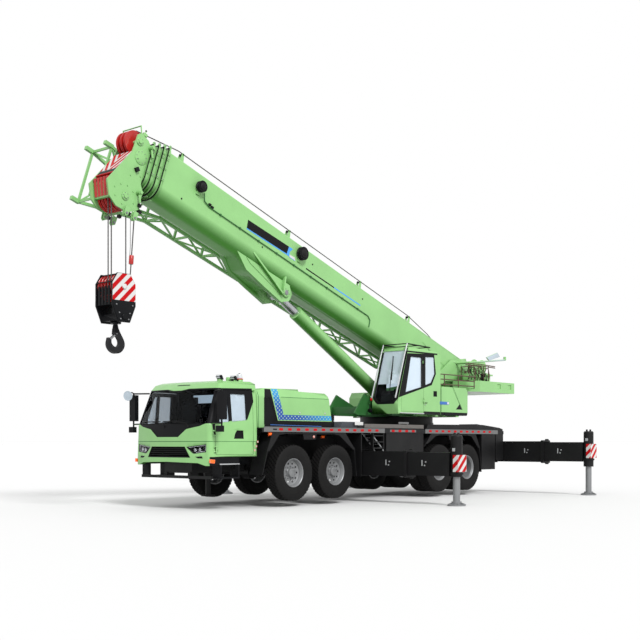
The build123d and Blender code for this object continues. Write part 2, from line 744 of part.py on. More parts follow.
with BuildPart() as cab_shell:
    cab_form(0)
    cab_form(cab_wall, Mode.SUBTRACT)
    front_plate(windscreen, (4400, 5200), Mode.SUBTRACT)
    # dark panel's recess, crease line round the front, grille opening with its slats
    add(cab_layer(nose_panel, -1, nose_depth), mode=Mode.SUBTRACT)
    front_plate(grille, front_span, Mode.SUBTRACT)
    add(grille_slats.part)
    for outline in (headlight, fog_lamp):
        for form in (outline, mirrored(outline)):
            add(cab_layer(form, -1, lamp_depth), mode=Mode.SUBTRACT)
    # roof lamps' feet and the beacon's base
    for x in (4440, 4030):
        block((x - 45, x + 45), (860, 940), (cab_crown, cab_roof + 40))
        low, high = cab_roof + 30, cab_roof + 125
        slanted = [(x - 60, low), (x + 20, low), (x + 75, cab_roof + 90), (x - 5, high)]
        side_plate(slanted, (845, 955))
    round_bar((3850, 880, cab_crown), (3850, 880, cab_roof + 55), 75)
    # mirror arms from the screen pillars, with the long mirror and the kerb mirror
    for sign in (1, -1):
        for z, root in ((2470, (4690, 1085)), (1800, (4900, 1120))):
            round_bar((root[0], sign * (root[1] - 30), z), (mirror_x, sign * mirror_y, z), 16)
        round_bar((mirror_x, sign * mirror_y, 1690), (mirror_x, sign * mirror_y, 2490), 18)
        block((mirror_x - 60, mirror_x + 40), (sign * (mirror_y - 95), sign * (mirror_y + 95)), (1870, 2440))
        block((mirror_x - 10, mirror_x + 85), (sign * (mirror_y - 90), sign * (mirror_y + 60)), (1620, 1745))
    for sign in (1, -1):
        side_plate(door_outline, (sign * 980, sign * 1300), Mode.SUBTRACT)
    # rear window high in the back wall
    block((cab_rear - 5, cab_rear + cab_wall + 5), (-700, 700), (2050, 2450), Mode.SUBTRACT)
    # bumper skirt below the floor, drawn down at its corners, with the steps at both sides
    with BuildPart() as skirt:
        with BuildSketch(Plane.XY.offset(bumper_foot)):
            add(cab_ring(cab_floor, 0))
            with Locations((cab_rear, 0)):
                Rectangle(2 * (4830 - cab_rear), 3000, mode=Mode.SUBTRACT)
        extrude(amount=cab_floor + 5 - bumper_foot)
        lift = [(-1050, bumper_foot - 1), (-860, bumper_foot + 55), (0, bumper_foot + 75),
                (860, bumper_foot + 55),
                (1050, bumper_foot - 1)]
        front_plate(lift, (4700, 5300), Mode.SUBTRACT)
    add(skirt.part)
    for sign in (1, -1):
        block((4150, 4835), (sign * 985, sign * 1175), (940, cab_floor + 5))
        block((4200, 4740), (sign * 985, sign * 1240), (655, 690))
        for x in (4200, 4710):
            block((x, x + 30), (sign * 985, sign * 1235), (656, 945))
        block((cab_rear, 4160), (sign * 985, sign * 1010), (945, cab_floor + 5))
        for z in cab_hinge_z:
            hinge_pins(cab_hinge_x, sign * cab_hinge_y, z, cab_hinge_x + 50, sign * 1120)
            block((cab_hinge_x - hinge_radius - 1, cab_hinge_x + 7), (sign * 1100, sign * (cab_hinge_y - 15)),
                  (z - 31, z + hinge_height + 31), Mode.SUBTRACT)
cab_shell.part.label = "cab_shell"
export_step(cab_shell.part, "parts/cab_shell.step")

with BuildPart() as cab_glass:
    cab_form(pane_outer)
    cab_form(pane_inner, Mode.SUBTRACT)
    front_plate(windscreen, (4400, 5200), Mode.INTERSECT, seat_gap)
    low = 2050 + seat_gap
    pane = (-700 + seat_gap, 700 - seat_gap)
    block((cab_rear + pane_outer, cab_rear + pane_inner), pane, (low, 2450 - seat_gap))
lamp_lenses = []
for outline in (headlight, fog_lamp):
    for form in (outline, mirrored(outline)):
        lamp_lenses += cab_layer(form, lens_depth, lens_depth + lens_thick, inset=seat_gap).solids()
cab_panes = Compound([*cab_glass.part.solids(), *lamp_lenses], label="cab_glass")
export_step(cab_panes, "parts/cab_glass.step")

for side, sign in (("left", 1), ("right", -1)):
    node = f"cab_door_{side}"
    with BuildPart() as door:
        cab_form(0)
        cab_form(cab_wall, Mode.SUBTRACT)
        side_plate(door_outline, (sign * 980, sign * 1300), Mode.INTERSECT, door_gap)
        for window in (door_window, quarter_window):
            side_plate(window, (sign * 980, sign * 1300), Mode.SUBTRACT)
        with BuildPart() as handle:
            cab_form(-1)
            cab_form(handle_depth, Mode.SUBTRACT)
            side_plate(handle_outline, (sign * 980, sign * 1400), Mode.INTERSECT)
        add(handle.part, mode=Mode.SUBTRACT)
        for z in cab_hinge_z:
            hinge_leaf(cab_hinge_x, sign * cab_hinge_y, z, cab_hinge_x - 50, sign * 1130)
            block((cab_hinge_x - 8, cab_hinge_x + 60), (sign * 1100, sign * (cab_hinge_y - 15)),
                  (z - 1, z + hinge_height + 1), Mode.SUBTRACT)
    door.part.label = node
    export_step(door.part, f"parts/{node}.step")

seat_x = 3980
with BuildPart() as cab_interior:
    floor_z = cab_floor + cab_wall + seat_gap
    for y in (600, -600):
        block((seat_x - 130, seat_x + 260), (y - 180, y + 180), (floor_z, floor_z + 320))
        block((seat_x - 150, seat_x + 330), (y - 250, y + 250), (floor_z + 310, floor_z + 460))
        back = [(seat_x - 140, 1590), (seat_x, 1590), (seat_x - 60, 2230), (seat_x - 170, 2230)]
        side_plate(back, (y - 240, y + 240))
        block((seat_x - 190, seat_x - 100), (y - 130, y + 130), (2225, 2400))
    # engine tunnel and dashboard, with the wheel on its column
    block((3760, 4640), (-330, 330), (floor_z, floor_z + 260))
    dash = [(4540, floor_z), (4800, floor_z), (4850, 1560), (4700, 1730), (4530, 1640)]
    side_plate(dash, (-1020, 1020))
    round_bar((4600, 600, 1600), (4450, 600, 1830), 28)
    with BuildSketch(Plane(origin=(4450, 600, 1830), z_dir=(-150, 0, 230))):
        Circle(225)
        Circle(195, mode=Mode.SUBTRACT)
        Rectangle(400, 40)
        Rectangle(40, 400)
    extrude(amount=28)
cab_interior.part.label = "cab_interior"
export_step(cab_interior.part, "parts/cab_interior.step")

# ---------------------------------------------------------------- engine and its hood
hood_foot = deck_top + seat_gap
hood_outline = [
    (hood_front, hood_foot),
    (hood_front, hood_top - 40),
    (3420, hood_top),
    (hood_step, hood_top + 15),
    (hood_step, hood_top - hood_step_drop),
    (1360, hood_top - 50),
    (hood_rear, hood_top - 110),
    (hood_tail, 1900),
    (hood_tail, hood_foot),
]
intake_panel = [
    (3410, hood_foot - 1),
    (3410, hood_shoulder - 20),
    (3270, hood_shoulder - 20),
    (3000, 1880),
    (hood_tail - 1, 1880),
    (hood_tail - 1, hood_foot - 1),
]
intake_slot = [(3425, 1790), (3425, hood_shoulder - 20), (3410, hood_shoulder - 20), (3410, 1790)]

with BuildPart() as engine_hood:
    side_plate(hood_outline, (-hood_half, hood_half))
    # the sides lean in above the shoulder
    for sign in (1, -1):
        lean = [
            (sign * hood_half, hood_shoulder),
            (sign * (hood_half + 50), hood_shoulder),
            (sign * (hood_half + 50), hood_top + 50),
            (sign * (hood_half - hood_lean), hood_top + 50),
        ]
        front_plate(lean, (hood_tail - 50, hood_front + 50), Mode.SUBTRACT)
    within = hood_half - hood_wall - hood_lean
    side_plate(hood_outline, (-within, within), Mode.SUBTRACT, hood_wall)
    for sign in (1, -1):
        # dark slanted air intake panel and plain strip along the foot, set in a little
        outer = (sign * (hood_half - hood_recess), sign * (hood_half + 1))
        side_plate(intake_panel, outer, Mode.SUBTRACT)
        # the gap behind the intake column
        side_plate(intake_slot, (sign * (hood_half - 60), sign * (hood_half + 1)), Mode.SUBTRACT)
    # open underneath
    x = (hood_tail + hood_wall, hood_front - hood_wall)
    block(x, (-within, within), (hood_foot - 1, hood_foot + hood_wall + 1), Mode.SUBTRACT)
engine_hood.part.label = "engine_hood"
export_step(engine_hood.part, "parts/engine_hood.step")

with BuildPart() as engine:
    block((1700, 3100), (-380, 380), (hood_foot, 2380))
    block((2960, 3300), (-520, 520), (hood_foot, 2450))
engine.part.label = "engine"
export_step(engine.part, "parts/engine.step")

# ---------------------------------------------------------------- turntable
plate_outer = plate_inner + plate_thick
frame_foot = counterweight_top + seat_gap
plate_outline = [
    (-1770, 2250),
    (-2150, 2705),
    (-3600, 2950),
    (-4270, 3324),
    (-4806, 3683),
    (-5563, 3767),
    (-5750, tail_top),
    (tail_end, tail_top),
    (tail_end, frame_foot),
    (-4560, frame_foot),
    (-4220, 2900),
    (-3960, 2500),
    (-3900, 2080),
    (-1840, 2080),
]
foot_pin = 60
foot_eye_half = 180
foot_eye_radius = 150
bracket_z = (ring_top + slew_gap + 2, op_floor - seat_gap)
# x of each bracket under the cab and the housings, and which side it reaches
brackets = [(-1900, 1), (-2870, 1), (-3250, 1), (-3820, 1), (-2800, -1), (-3820, -1)]

rail_z = (2925, 3060, 3190)
rail_tube = 14

with BuildPart() as turntable:
    with BuildSketch(Plane.XY.offset(ring_top + slew_gap)):
        with Locations((slew_x, 0)):
            Circle(1050)
            Circle(ring_bore - 100, mode=Mode.SUBTRACT)
    extrude(amount=base_plate_top - ring_top - slew_gap)
    for sign in (1, -1):
        side_plate(plate_outline, (sign * plate_inner, sign * plate_outer))
        cross_bar(pivot_x, pivot_z, (sign * plate_inner, sign * (plate_outer + 25)), 190)
        cross_bar(foot_x, foot_z, (sign * (foot_eye_half + 1), sign * plate_inner), 105)
        for z in (frame_foot, tail_top - 70):
            block((tail_end, -5900), (sign * plate_inner, sign * 560), (z, z + 40))
    cross_bar(pivot_x, pivot_z, (-plate_outer - 60, plate_outer + 60), pivot_radius)
    cross_bar(foot_x, foot_z, (-plate_outer - 40, plate_outer + 40), foot_pin)
    # walls across the frame: ahead of the boom's foot, and at the tail
    front_plate([(-431, 2100), (431, 2100), (431, 2520), (-431, 2520)], (-3740, -3700))
    block((tail_end, tail_end + 30), (-plate_inner, plate_inner), (frame_foot, tail_top - 5))
    block((tail_end, -5820), (-plate_inner, plate_inner), (frame_foot, frame_foot + 30))
    for x, side in brackets:
        block((x - 60, x + 60), (side * (plate_inner + 5), side * 1340), bracket_z)
    block((-2950, -1250), (1000, 1100), bracket_z)
    # railing over the left housing, on its posts
    for z in rail_z:
        round_bar((-3180, 1210, z), (-4860, 1210, z), rail_tube)
    for x in (-3200, -3401, -4060, -4840):
        round_bar((x, 1210, 2870), (x, 1210, rail_z[-1]), rail_tube)
        square_bar((x, 1210, 2870), (x, plate_outer - 5, 2870), 24)
    # bar for the rear mirror and the camera
    round_bar((-5086, plate_outer - 5, 3610), (-5086, 900, 3610), 30)
    round_bar((-5086, 900, 3610), (-6975, 900, 3790), 22)
    block((-6985, -6930), (870, 930), (3780, 3880))
    round_bar((-6090, 900, 3705), (-6180, 900, 3800), 14)
    side_plate([(-6100, 3722), (-5960, 3803), (-6540, 3974), (-6669, 3863)], (880, 915))
    # sloping front plates under the boom
    front = [(-560, 2125), (-690, 2080), (-1850, 2080), (-1850, 2260), (-960, 2612)]
    for sign in (1, -1):
        side_plate(front, (sign * plate_inner, sign * plate_outer))
    front_plate([(-431, 2110), (431, 2110), (431, 2300), (-431, 2300)], (-800, -770))
turntable.part.label = "turntable"
export_step(turntable.part, "parts/turntable.step")

winch_z = 3590
drum_half = 395
drum_radius = 150
flange_radius = 196
winch_foot = tail_top + seat_gap

with BuildPart() as winches:
    for x in (-6150, -6560):
        cross_bar(x, winch_z, (-drum_half, drum_half), drum_radius)
        for sign in (1, -1):
            cross_bar(x, winch_z, (sign * (drum_half - 30), sign * drum_half), flange_radius)
            cross_bar(x, winch_z, (sign * (drum_half - 5), sign * (drum_half + 7)), 60)
            # bearing stand and its foot on the turntable's flange
            stand = [(x - 110, winch_foot), (x + 110, winch_foot)]
            stand += [(x + 60, winch_z + 50), (x - 60, winch_z + 50)]
            inner = sign * (drum_half + 5)
            side_plate(stand, (inner, sign * (drum_half + 30)))
            block((x - 110, x + 110), (inner, sign * (plate_outer - 2)), (winch_foot, winch_foot + 20))
winches.part.label = "winches"
export_step(winches.part, "parts/winches.step")

weight_plan = [
    (-7000, -counterweight_half),
    (-5150, -counterweight_half),
    (-4900, -950),
    (-4860, -500),
    (-5800, -500),
    (-5800, 500),
    (-4860, 500),
    (-4900, 950),
    (-5150, counterweight_half),
    (-7000, counterweight_half),
]
with BuildPart() as counterweight:
    plan_plate(weight_plan, (counterweight_bottom, counterweight_top))
    fillet(counterweight.edges().filter_by(Axis.Z).group_by(Axis.X)[-2], 140)
    fillet(counterweight.edges().filter_by(Axis.Z).group_by(Axis.X)[0], 25)
    # recessed pockets for the lifting pins
    for x in (-6150, -6720):
        for sign in (1, -1):
            y = (sign * (counterweight_half - 20), sign * (counterweight_half + 1))
            block((x - 90, x + 90), y, (2910, 3040), Mode.SUBTRACT)
counterweight.part.label = "counterweight"
export_step(counterweight.part, "parts/counterweight.step")

# ---------------------------------------------------------------- operator's cab and side housings
op_outline = [
    (-1170, op_floor),
    (-1150, 2400),
    (-1600, op_roof),
    (-2930, 3720),
    (-3000, 3560),
    (-3000, op_floor),
]
op_door = [(op_door_rear, 2170), (-1290, 2170), (-1290, 2460), (-1650, 3620), (op_door_rear, 3620)]
op_door_window = [(op_door_rear + 80, 2806), (-1480, 2650), (-1700, 3545), (op_door_rear + 80, 3545)]
# the screen's foot is a flat-bottomed V
op_screen = [
    (620, 2560), (700, 2440), (800, 2390), (1120, 2390), (1220, 2440), (1300, 2560), (1300, 3700), (620, 3700),
]
op_rear_side = [(-2736, 3161), (-2577, 2927), (-2330, 2857), (-2330, 3570), (-2700, 3590)]
op_inner_side = [(-2850, 2600), (-1700, 2600), (-1700, 3560), (-2850, 3560)]
screen_foot_x = -1150
screen_head_x = -1560
guard_radius = 17
op_y = (op_cab_inner, op_cab_outer)
op_y_within = (op_cab_inner + op_cab_wall, op_cab_outer - op_cab_wall)

with BuildPart() as op_cab_shell:
    side_plate(op_outline, op_y)
    side_plate(op_outline, op_y_within, Mode.SUBTRACT, op_cab_wall)
    front_plate(op_screen, (-1800, -1000), Mode.SUBTRACT)
    side_plate(op_door, (op_cab_outer - 60, op_cab_outer + 60), Mode.SUBTRACT)
    side_plate(op_rear_side, (op_cab_outer - 60, op_cab_outer + 60), Mode.SUBTRACT)
    side_plate(op_inner_side, (op_cab_inner - 60, op_cab_inner + 60), Mode.SUBTRACT)
    # roof window
    block((-2600, -1750), (700, 1220), (3600, 3900), Mode.SUBTRACT)
    for z in op_hinge_z:
        hinge_pins(op_hinge_x, op_hinge_y, z, op_hinge_x - 40, op_cab_outer - 1)
        z_span = (z - 31, z + hinge_height + 31)
        block((op_hinge_x - 2, op_hinge_x + 20), (op_cab_outer - 40, op_cab_outer + 1), z_span, Mode.SUBTRACT)
    # bottom of the screen in a V, with the guard tubes ahead of it and over the roof
    for sign, y in ((-1, op_cab_inner + 30), (1, op_cab_outer - 30)):
        crest = (screen_head_x - 20, y, op_roof + 75)
        run = [(screen_foot_x + 60, y, 2500), (screen_head_x + 70, y, 3640), crest]
        for start, end in zip(run, run[1:]):
            round_bar(start, end, guard_radius)
        for x, z in ((screen_foot_x - 20, 2540), (-1590, 3700)):
            round_bar((x - 40, y, z), (x + 95, y, z), 12)
        tail = (screen_head_x - 1000, y, op_roof + 40)
        round_bar(run[-1], tail, guard_radius)
        round_bar((tail[0] + 30, y, tail[2]), (tail[0] + 30, y, 3730), 12)
    for x in (screen_head_x - 20, screen_head_x - 500, screen_head_x - 970):
        z = op_roof + 75 - (screen_head_x - 20 - x) * 35 / 980
        cross_bar(x, z, (op_cab_inner + 30, op_cab_outer - 30), 12)
    # louvres behind the door
    for row in range(4):
        z = 2590 + row * 36
        block((-2830, -2690), (op_cab_outer - 12, op_cab_outer + 1), (z, z + 18), Mode.SUBTRACT)
    # step along the door's sill
    block((-2210, -1240), (op_cab_outer - 30, op_cab_outer + 45), (2118, 2146))
op_cab_shell.part.label = "op_cab_shell"
export_step(op_cab_shell.part, "parts/op_cab_shell.step")

with BuildPart() as op_cab_glass:
    glass_y = (op_cab_inner + pane_outer, op_cab_outer - pane_outer)
    side_plate(op_outline, glass_y, Mode.ADD, pane_outer)
    glass_y = (op_cab_inner + pane_inner, op_cab_outer - pane_inner)
    side_plate(op_outline, glass_y, Mode.SUBTRACT, pane_inner)
    front_plate(op_screen, (-1800, -1000), Mode.INTERSECT, seat_gap)
with BuildPart() as op_side_glass:
    side_plate(op_rear_side, (op_cab_outer - pane_outer, op_cab_outer - pane_inner), Mode.ADD, seat_gap)
    side_plate(op_inner_side, (op_cab_inner + pane_outer, op_cab_inner + pane_inner), Mode.ADD, seat_gap)
op_panes = Compound([*op_cab_glass.part.solids(), *op_side_glass.part.solids()], label="op_cab_glass")
export_step(op_panes, "parts/op_cab_glass.step")

with BuildPart() as op_cab_door:
    side_plate(op_door, (op_cab_outer - op_cab_wall, op_cab_outer), Mode.ADD, door_gap)
    side_plate(op_door_window, (op_cab_outer - 60, op_cab_outer + 60), Mode.SUBTRACT)
    for z in op_hinge_z:
        hinge_leaf(op_hinge_x, op_hinge_y, z, op_hinge_x + 40, op_cab_outer - 1)
op_cab_door.part.label = "op_cab_door"
export_step(op_cab_door.part, "parts/op_cab_door.step")

with BuildPart() as op_cab_interior:
    floor_z = op_floor + op_cab_wall + seat_gap
    block((-2480, -2120), (800, 1120), (floor_z, floor_z + 330))
    block((-2540, -1980), (710, 1210), (floor_z + 320, floor_z + 450))
    side_plate([(-2560, 2590), (-2440, 2590), (-2520, 3250), (-2620, 3250)], (720, 1200))
    for y in (640, 1220):
        block((-2350, -1950), (y, y + 60), (floor_z, floor_z + 620))
    side_plate([(-1330, floor_z), (-1230, floor_z), (-1260, 2600), (-1420, 2700)], (760, 1160))
op_cab_interior.part.label = "op_cab_interior"
export_step(op_cab_interior.part, "parts/op_cab_interior.step")

with BuildPart() as side_housings:
    left = [(-4280, op_floor), (-3030, op_floor), (-3030, 2790), (-3080, 2850), (-4200, 2850), (-4280, 2760)]
    side_plate(left, (560, 1360))
    fillet(side_housings.edges().filter_by(Axis.Y).group_by(Axis.X)[0], 60)
    # slanted crease and the dark foot strip, set in a little
    side_plate([(-3540, 2851), (-3556, 2851), (-4010, 2270), (-3994, 2270)], (1352, 1361), Mode.SUBTRACT)
    block((-4281, -3029), (1354, 1361), (op_floor - 1, 2190), Mode.SUBTRACT)
    right = [(-4300, op_floor), (-2600, op_floor), (-2600, 2600), (-2700, 2750), (-4200, 2750), (-4300, 2660)]
    side_plate(right, (-1360, -560))
side_housings.part.label = "side_housings"
export_step(side_housings.part, "parts/side_housings.step")

# ---------------------------------------------------------------- telescopic boom
def tube_section(half, up, down, start, end, mode=Mode.ADD):
    """A length of boom tube: flat top, upright sides, deep rounded bottom."""
    start_point = pivot + boom_dir * start
    with BuildSketch(Plane(origin=start_point, x_dir=(0, 1, 0), z_dir=boom_dir)) as face:
        with Locations((0, (up - down) / 2)):
            Rectangle(2 * half, up + down)
        fillet(face.vertices().group_by(Axis.Y)[0], half * 0.72)
        fillet(face.vertices().group_by(Axis.Y)[-1], half * 0.08)
    extrude(face.sketch, amount=end - start, mode=mode)


def boom_tube(index, start, end, collar=True):
    """Section `index` of the boom as a hollow tube, with the collar at its mouth."""
    step = index * section_step
    half, up, down = boom_half - step, boom_up - step, boom_down - step
    tube_section(half, up, down, start, end)
    if index:
        # sliding shoe round the tail
        rise = section_step - boom_wall - seat_gap
        tube_section(half + rise, up + rise, down + rise, start + 20, start + 120)
    wall, lip = boom_wall, 0
    if collar:
        rise = 24
        tube_section(half + rise, up + rise, down + rise, end - collar_thick, end)
        lip = collar_lip_length
        gap = section_step - seat_gap
        tube_section(half - gap, up - gap, down - gap, end - lip - 1, end + 1, Mode.SUBTRACT)
    tube_section(half - wall, up - wall, down - wall, start + wall, end - lip, Mode.SUBTRACT)
    if not collar:
        tube_section(half - wall, up - wall, down - wall, end - 1, end + 1, Mode.SUBTRACT)


section_start = 160
roller_along = (10900, 7400, 3900)
# along, perp and radius of each cable reel
reels = [(10435, -83, 120), (7095, 0, 155)]
collar_lip_length = 50
eye_half = 150
eye_radius = 140
ear_outer = 300
ear_inner = 185
luff_angle = math.atan2(on_boom(eye_along, eye_perp).Z - foot_z, on_boom(eye_along, eye_perp).X - foot_x)
luff_dir = Vector(math.cos(luff_angle), 0, math.sin(luff_angle))
foot = Vector(foot_x, 0, foot_z)

with BuildPart() as boom_base:
    boom_tube(0, base_start, base_end + collar_pitch)
    cross_bar(pivot_x, pivot_z, (-boom_half - 20, boom_half + 20), pivot_radius + 70)
    cross_bar(pivot_x, pivot_z, (-boom_half - 21, boom_half + 21), pivot_radius + pivot_gap, Mode.SUBTRACT)
    bracket_root = -boom_down + 60
    bracket = [
        (eye_along + 1717, bracket_root),
        (eye_along + 1337, eye_perp - 43),
        (eye_along + 687, eye_perp - 163),
        (eye_along + 57, eye_perp - 263),
        (eye_along - 183, eye_perp - 133),
        (eye_along - 233, eye_perp + 67),
        (eye_along - 63, bracket_root),
    ]
    for sign in (1, -1):
        boom_plate(bracket, (sign * ear_inner, sign * ear_outer))
    web = [
        (eye_along + 1707, bracket_root),
        (eye_along + 1337, eye_perp - 33),
        (eye_along + 517, eye_perp - 153),
        (eye_along + 467, bracket_root),
    ]
    boom_plate(web, (-ear_outer, ear_outer))
    # rope rollers above the tube on their forks
    for along in roller_along:
        foot_z_along = boom_up - 2
        for y in (-70, 70):
            cheek = [(along - 60, foot_z_along), (along + 60, foot_z_along)]
            cheek += [(along + 25, 330), (along - 25, 330)]
            boom_plate(cheek, (y - 8, y + 8))
        centre = on_boom(along, 300)
        cross_bar(centre.X, centre.Z, (-76, 76), 14)
        cross_bar(centre.X, centre.Z, (-60, 60), 38)
    # cable reels on the left side
    for along, perp, radius in reels:
        centre = on_boom(along, perp)
        cross_bar(centre.X, centre.Z, (boom_half - 2, boom_half + 40), 45)
        for y in (boom_half + 38, boom_half + 118):
            cross_bar(centre.X, centre.Z, (y, y + 14), radius)
        cross_bar(centre.X, centre.Z, (boom_half + 38, boom_half + 130), radius - 35)
    # gusset below the pivot and a rib along each side
    for sign in (1, -1):
        y = (sign * (boom_half - 2), sign * (boom_half + 14))
        boom_plate([(-200, -380), (-60, 130), (900, 150), (1900, -60), (900, -260)], y)
    cross_bar(pivot_x, pivot_z, (-boom_half - 21, boom_half + 21), pivot_radius + pivot_gap, Mode.SUBTRACT)
    # the bracket mustn't fill the tube
    inner = boom_down - boom_wall
    tube_section(boom_half - boom_wall, boom_up - boom_wall, inner, section_start, base_end, Mode.SUBTRACT)
boom_base.part.label = "boom_base"
export_step(boom_base.part, "parts/boom_base.step")

for index in (1, 2, 3):
    with BuildPart() as section:
        boom_tube(index, section_start + 40 * index, base_end + collar_pitch * (index + 1))
    section.part.label = f"boom_section_{index + 1}"
    export_step(section.part, f"parts/boom_section_{index + 1}.step")

head_outline = [
    (head_start - 4, 100),
    (11880, 190),
    (12090, 250),
    (12160, 180),
    (12180, -210),
    (12570, -1050),
    (12420, -1330),
    (12220, -1440),
    (11900, -1430),
    (11690, -1270),
    (11690, -870),
    (head_start - 4, -750),
]
head_pin = 45
with BuildPart() as section_5:
    boom_tube(4, section_start + 160, head_start, False)
    for sign in (1, -1):
        boom_plate(head_outline, (sign * (head_half - head_plate), sign * head_half))
    bulkhead = [(head_start, 100), (head_start + 30, 100), (head_start + 30, -860), (head_start, -860)]
    boom_plate(bulkhead, (-head_half, head_half))
    boom_plate([(12450, -900), (12490, -1000), (12360, -1300), (12320, -1300)], (-head_half, head_half))
    # thin guard frame over the upper sheaves
    guard = on_boom(upper_sheave_along + 60, upper_sheave_perp + upper_sheave_radius + 90)
    cross_bar(guard.X, guard.Z, (-head_half + 10, head_half - 10), 13)
    for y in (-head_half + 17, head_half - 17):
        round_bar(guard + Vector(0, y, 0), on_boom(upper_sheave_along - 20, 200, y), 13)
    for along, perp in ((sheave_along, sheave_perp), (upper_sheave_along, upper_sheave_perp)):
        centre = on_boom(along, perp)
        cross_bar(centre.X, centre.Z, (-head_half - 40, head_half + 40), head_pin)
section_5.part.label = "boom_section_5"
export_step(section_5.part, "parts/boom_section_5.step")


def grooved(centre, y, radius, width):
    """A sheave about an axis along Y: its pitch radius is the groove's foot, with a flange each side."""
    half = width / 2
    lip = radius + groove_depth
    outline = [
        (y - half, 0),
        (y - half, lip),
        (y - half + 8, lip),
        (y - groove_half, radius),
        (y + groove_half, radius),
        (y + half - 8, lip),
        (y + half, lip),
        (y + half, 0),
    ]
    with BuildSketch(Plane(origin=(centre.X, 0, centre.Z), x_dir=(0, 1, 0), z_dir=(1, 0, 0))) as face:
        Polygon(*outline, align=None)
    revolve(face.sketch, axis=Axis((centre.X, 0, centre.Z), (0, 1, 0)))


def sheaves(along, perp, radius, width, rows):
    """Sheaves side by side on one hub, free on the head's pin."""
    centre = on_boom(along, perp)
    last = rows[-1] + width / 2
    cross_bar(centre.X, centre.Z, (rows[0] - width / 2, last), head_pin + 40)
    for y in rows:
        grooved(centre, y, radius, width)
    cross_bar(centre.X, centre.Z, (rows[0] - width, last + width), head_pin + seat_gap, Mode.SUBTRACT)


sheave_rows = (-200, -100, 0, 100, 200)
with BuildPart() as head_sheaves:
    sheaves(sheave_along, sheave_perp, sheave_radius, sheave_width, sheave_rows)
    sheaves(upper_sheave_along, upper_sheave_perp, upper_sheave_radius, sheave_width, (-120, 0, 120))
head_sheaves.part.label = "head_sheaves"
export_step(head_sheaves.part, "parts/head_sheaves.step")

# ---------------------------------------------------------------- luffing cylinder
gland = 120
barrel_root = 110
barrel_bottom = 190
piston_start = 350
piston_length = 150

with BuildPart() as luff_barrel:
    round_bar(foot + luff_dir * barrel_root, foot + luff_dir * barrel_length, barrel_radius)
    cross_bar(foot_x, foot_z, (-foot_eye_half, foot_eye_half), foot_eye_radius)
    gland_foot = foot + luff_dir * (barrel_length - gland)
    round_bar(foot + luff_dir * barrel_bottom, gland_foot, barrel_bore, Mode.SUBTRACT)
    gland_mouth = foot + luff_dir * (barrel_length + 1)
    round_bar(gland_foot - luff_dir, gland_mouth, rod_radius + jack_gap, Mode.SUBTRACT)
    cross_bar(foot_x, foot_z, (-foot_eye_half - 1, foot_eye_half + 1), foot_pin + pivot_gap, Mode.SUBTRACT)
luff_barrel.part.label = "luff_barrel"
export_step(luff_barrel.part, "parts/luff_barrel.step")

eye = on_boom(eye_along, eye_perp)
with BuildPart() as luff_rod:
    piston = foot + luff_dir * piston_start
    round_bar(piston, eye, rod_radius)
    round_bar(piston, piston + luff_dir * piston_length, barrel_bore - jack_gap)
    cross_bar(eye.X, eye.Z, (-eye_half, eye_half), eye_radius)
    cross_bar(eye.X, eye.Z, (-eye_half - 1, eye_half + 1), foot_pin, Mode.SUBTRACT)
luff_rod.part.label = "luff_rod"
export_step(luff_rod.part, "parts/luff_rod.step")

# ---------------------------------------------------------------- stowed lattice jib
# along, y inboard, y outboard, perp low, perp high of each frame from the root back to the tip
jib_frames = [(12150, -520, -1150, -1090, 70), (11350, -535, -1100, -900, -80)]
jib_bay = 870
jib_bays = 11
jib_frames += [(10500 - jib_bay * bay, -550, -1050, -700, -250) for bay in range(jib_bays)]
chord = 60
lace = 34


def jib_corners(frame):
    """The four chord points of one frame, in order round it."""
    along, inboard, outboard, low, high = frame
    ring = ((inboard, high), (outboard, high), (outboard, low), (inboard, low))
    return [on_boom(along, perp, y) for y, perp in ring]


with BuildPart() as jib_lattice:
    for corner in range(4):
        for ahead, behind in ((jib_frames[0], jib_frames[2]), (jib_frames[2], jib_frames[-1])):
            square_bar(jib_corners(ahead)[corner], jib_corners(behind)[corner], chord)
    for number, frame in enumerate(jib_frames):
        points = jib_corners(frame)
        for corner in range(4):
            square_bar(points[corner], points[(corner + 1) % 4], lace + 12)
        if number + 1 < len(jib_frames):
            following = jib_corners(jib_frames[number + 1])
            for corner in range(4):
                start, end = (corner, corner + 1) if number % 2 else (corner + 1, corner)
                square_bar(points[start % 4], following[end % 4], lace)
    # fork lugs at the root
    for corner in range(4):
        point = jib_corners(jib_frames[0])[corner]
        square_bar(point - boom_dir * 20, point + boom_dir * 190, chord + 20)
    # stowing brackets on the boom's side
    for along in (3105, 9195):
        for perp in (-250, -540):
            start = on_boom(along, perp, -boom_half - seat_gap)
            end = on_boom(along, perp, -560)
            square_bar(start, end, 70)
            square_bar(on_boom(along - 60, perp, -548), on_boom(along + 60, perp, -548), 66)
jib_lattice.part.label = "jib_lattice"
export_step(jib_lattice.part, "parts/jib_lattice.step")

# ---------------------------------------------------------------- hook block on its ropes
head_sheave = on_boom(sheave_along, sheave_perp)
hook_x = head_sheave.X
rope_radius = 10
rope_foot = 4500
fall_x = sheave_radius + rope_radius + seat_gap
with BuildPart() as hoist_ropes:
    for y in sheave_rows:
        for x in (hook_x - fall_x, hook_x + fall_x):
            round_bar((x, y, rope_foot), (x, y, head_sheave.Z), rope_radius)
hoist_ropes.part.label = "hoist_ropes"
export_step(hoist_ropes.part, "parts/hoist_ropes.step")

block_pin_z = 4500
crosshead_foot = 3820
crosshead_top = 3960
shank_radius = 46
shank_top = crosshead_top + 100
nut_foot = crosshead_top + seat_gap
nut_top = nut_foot + 115

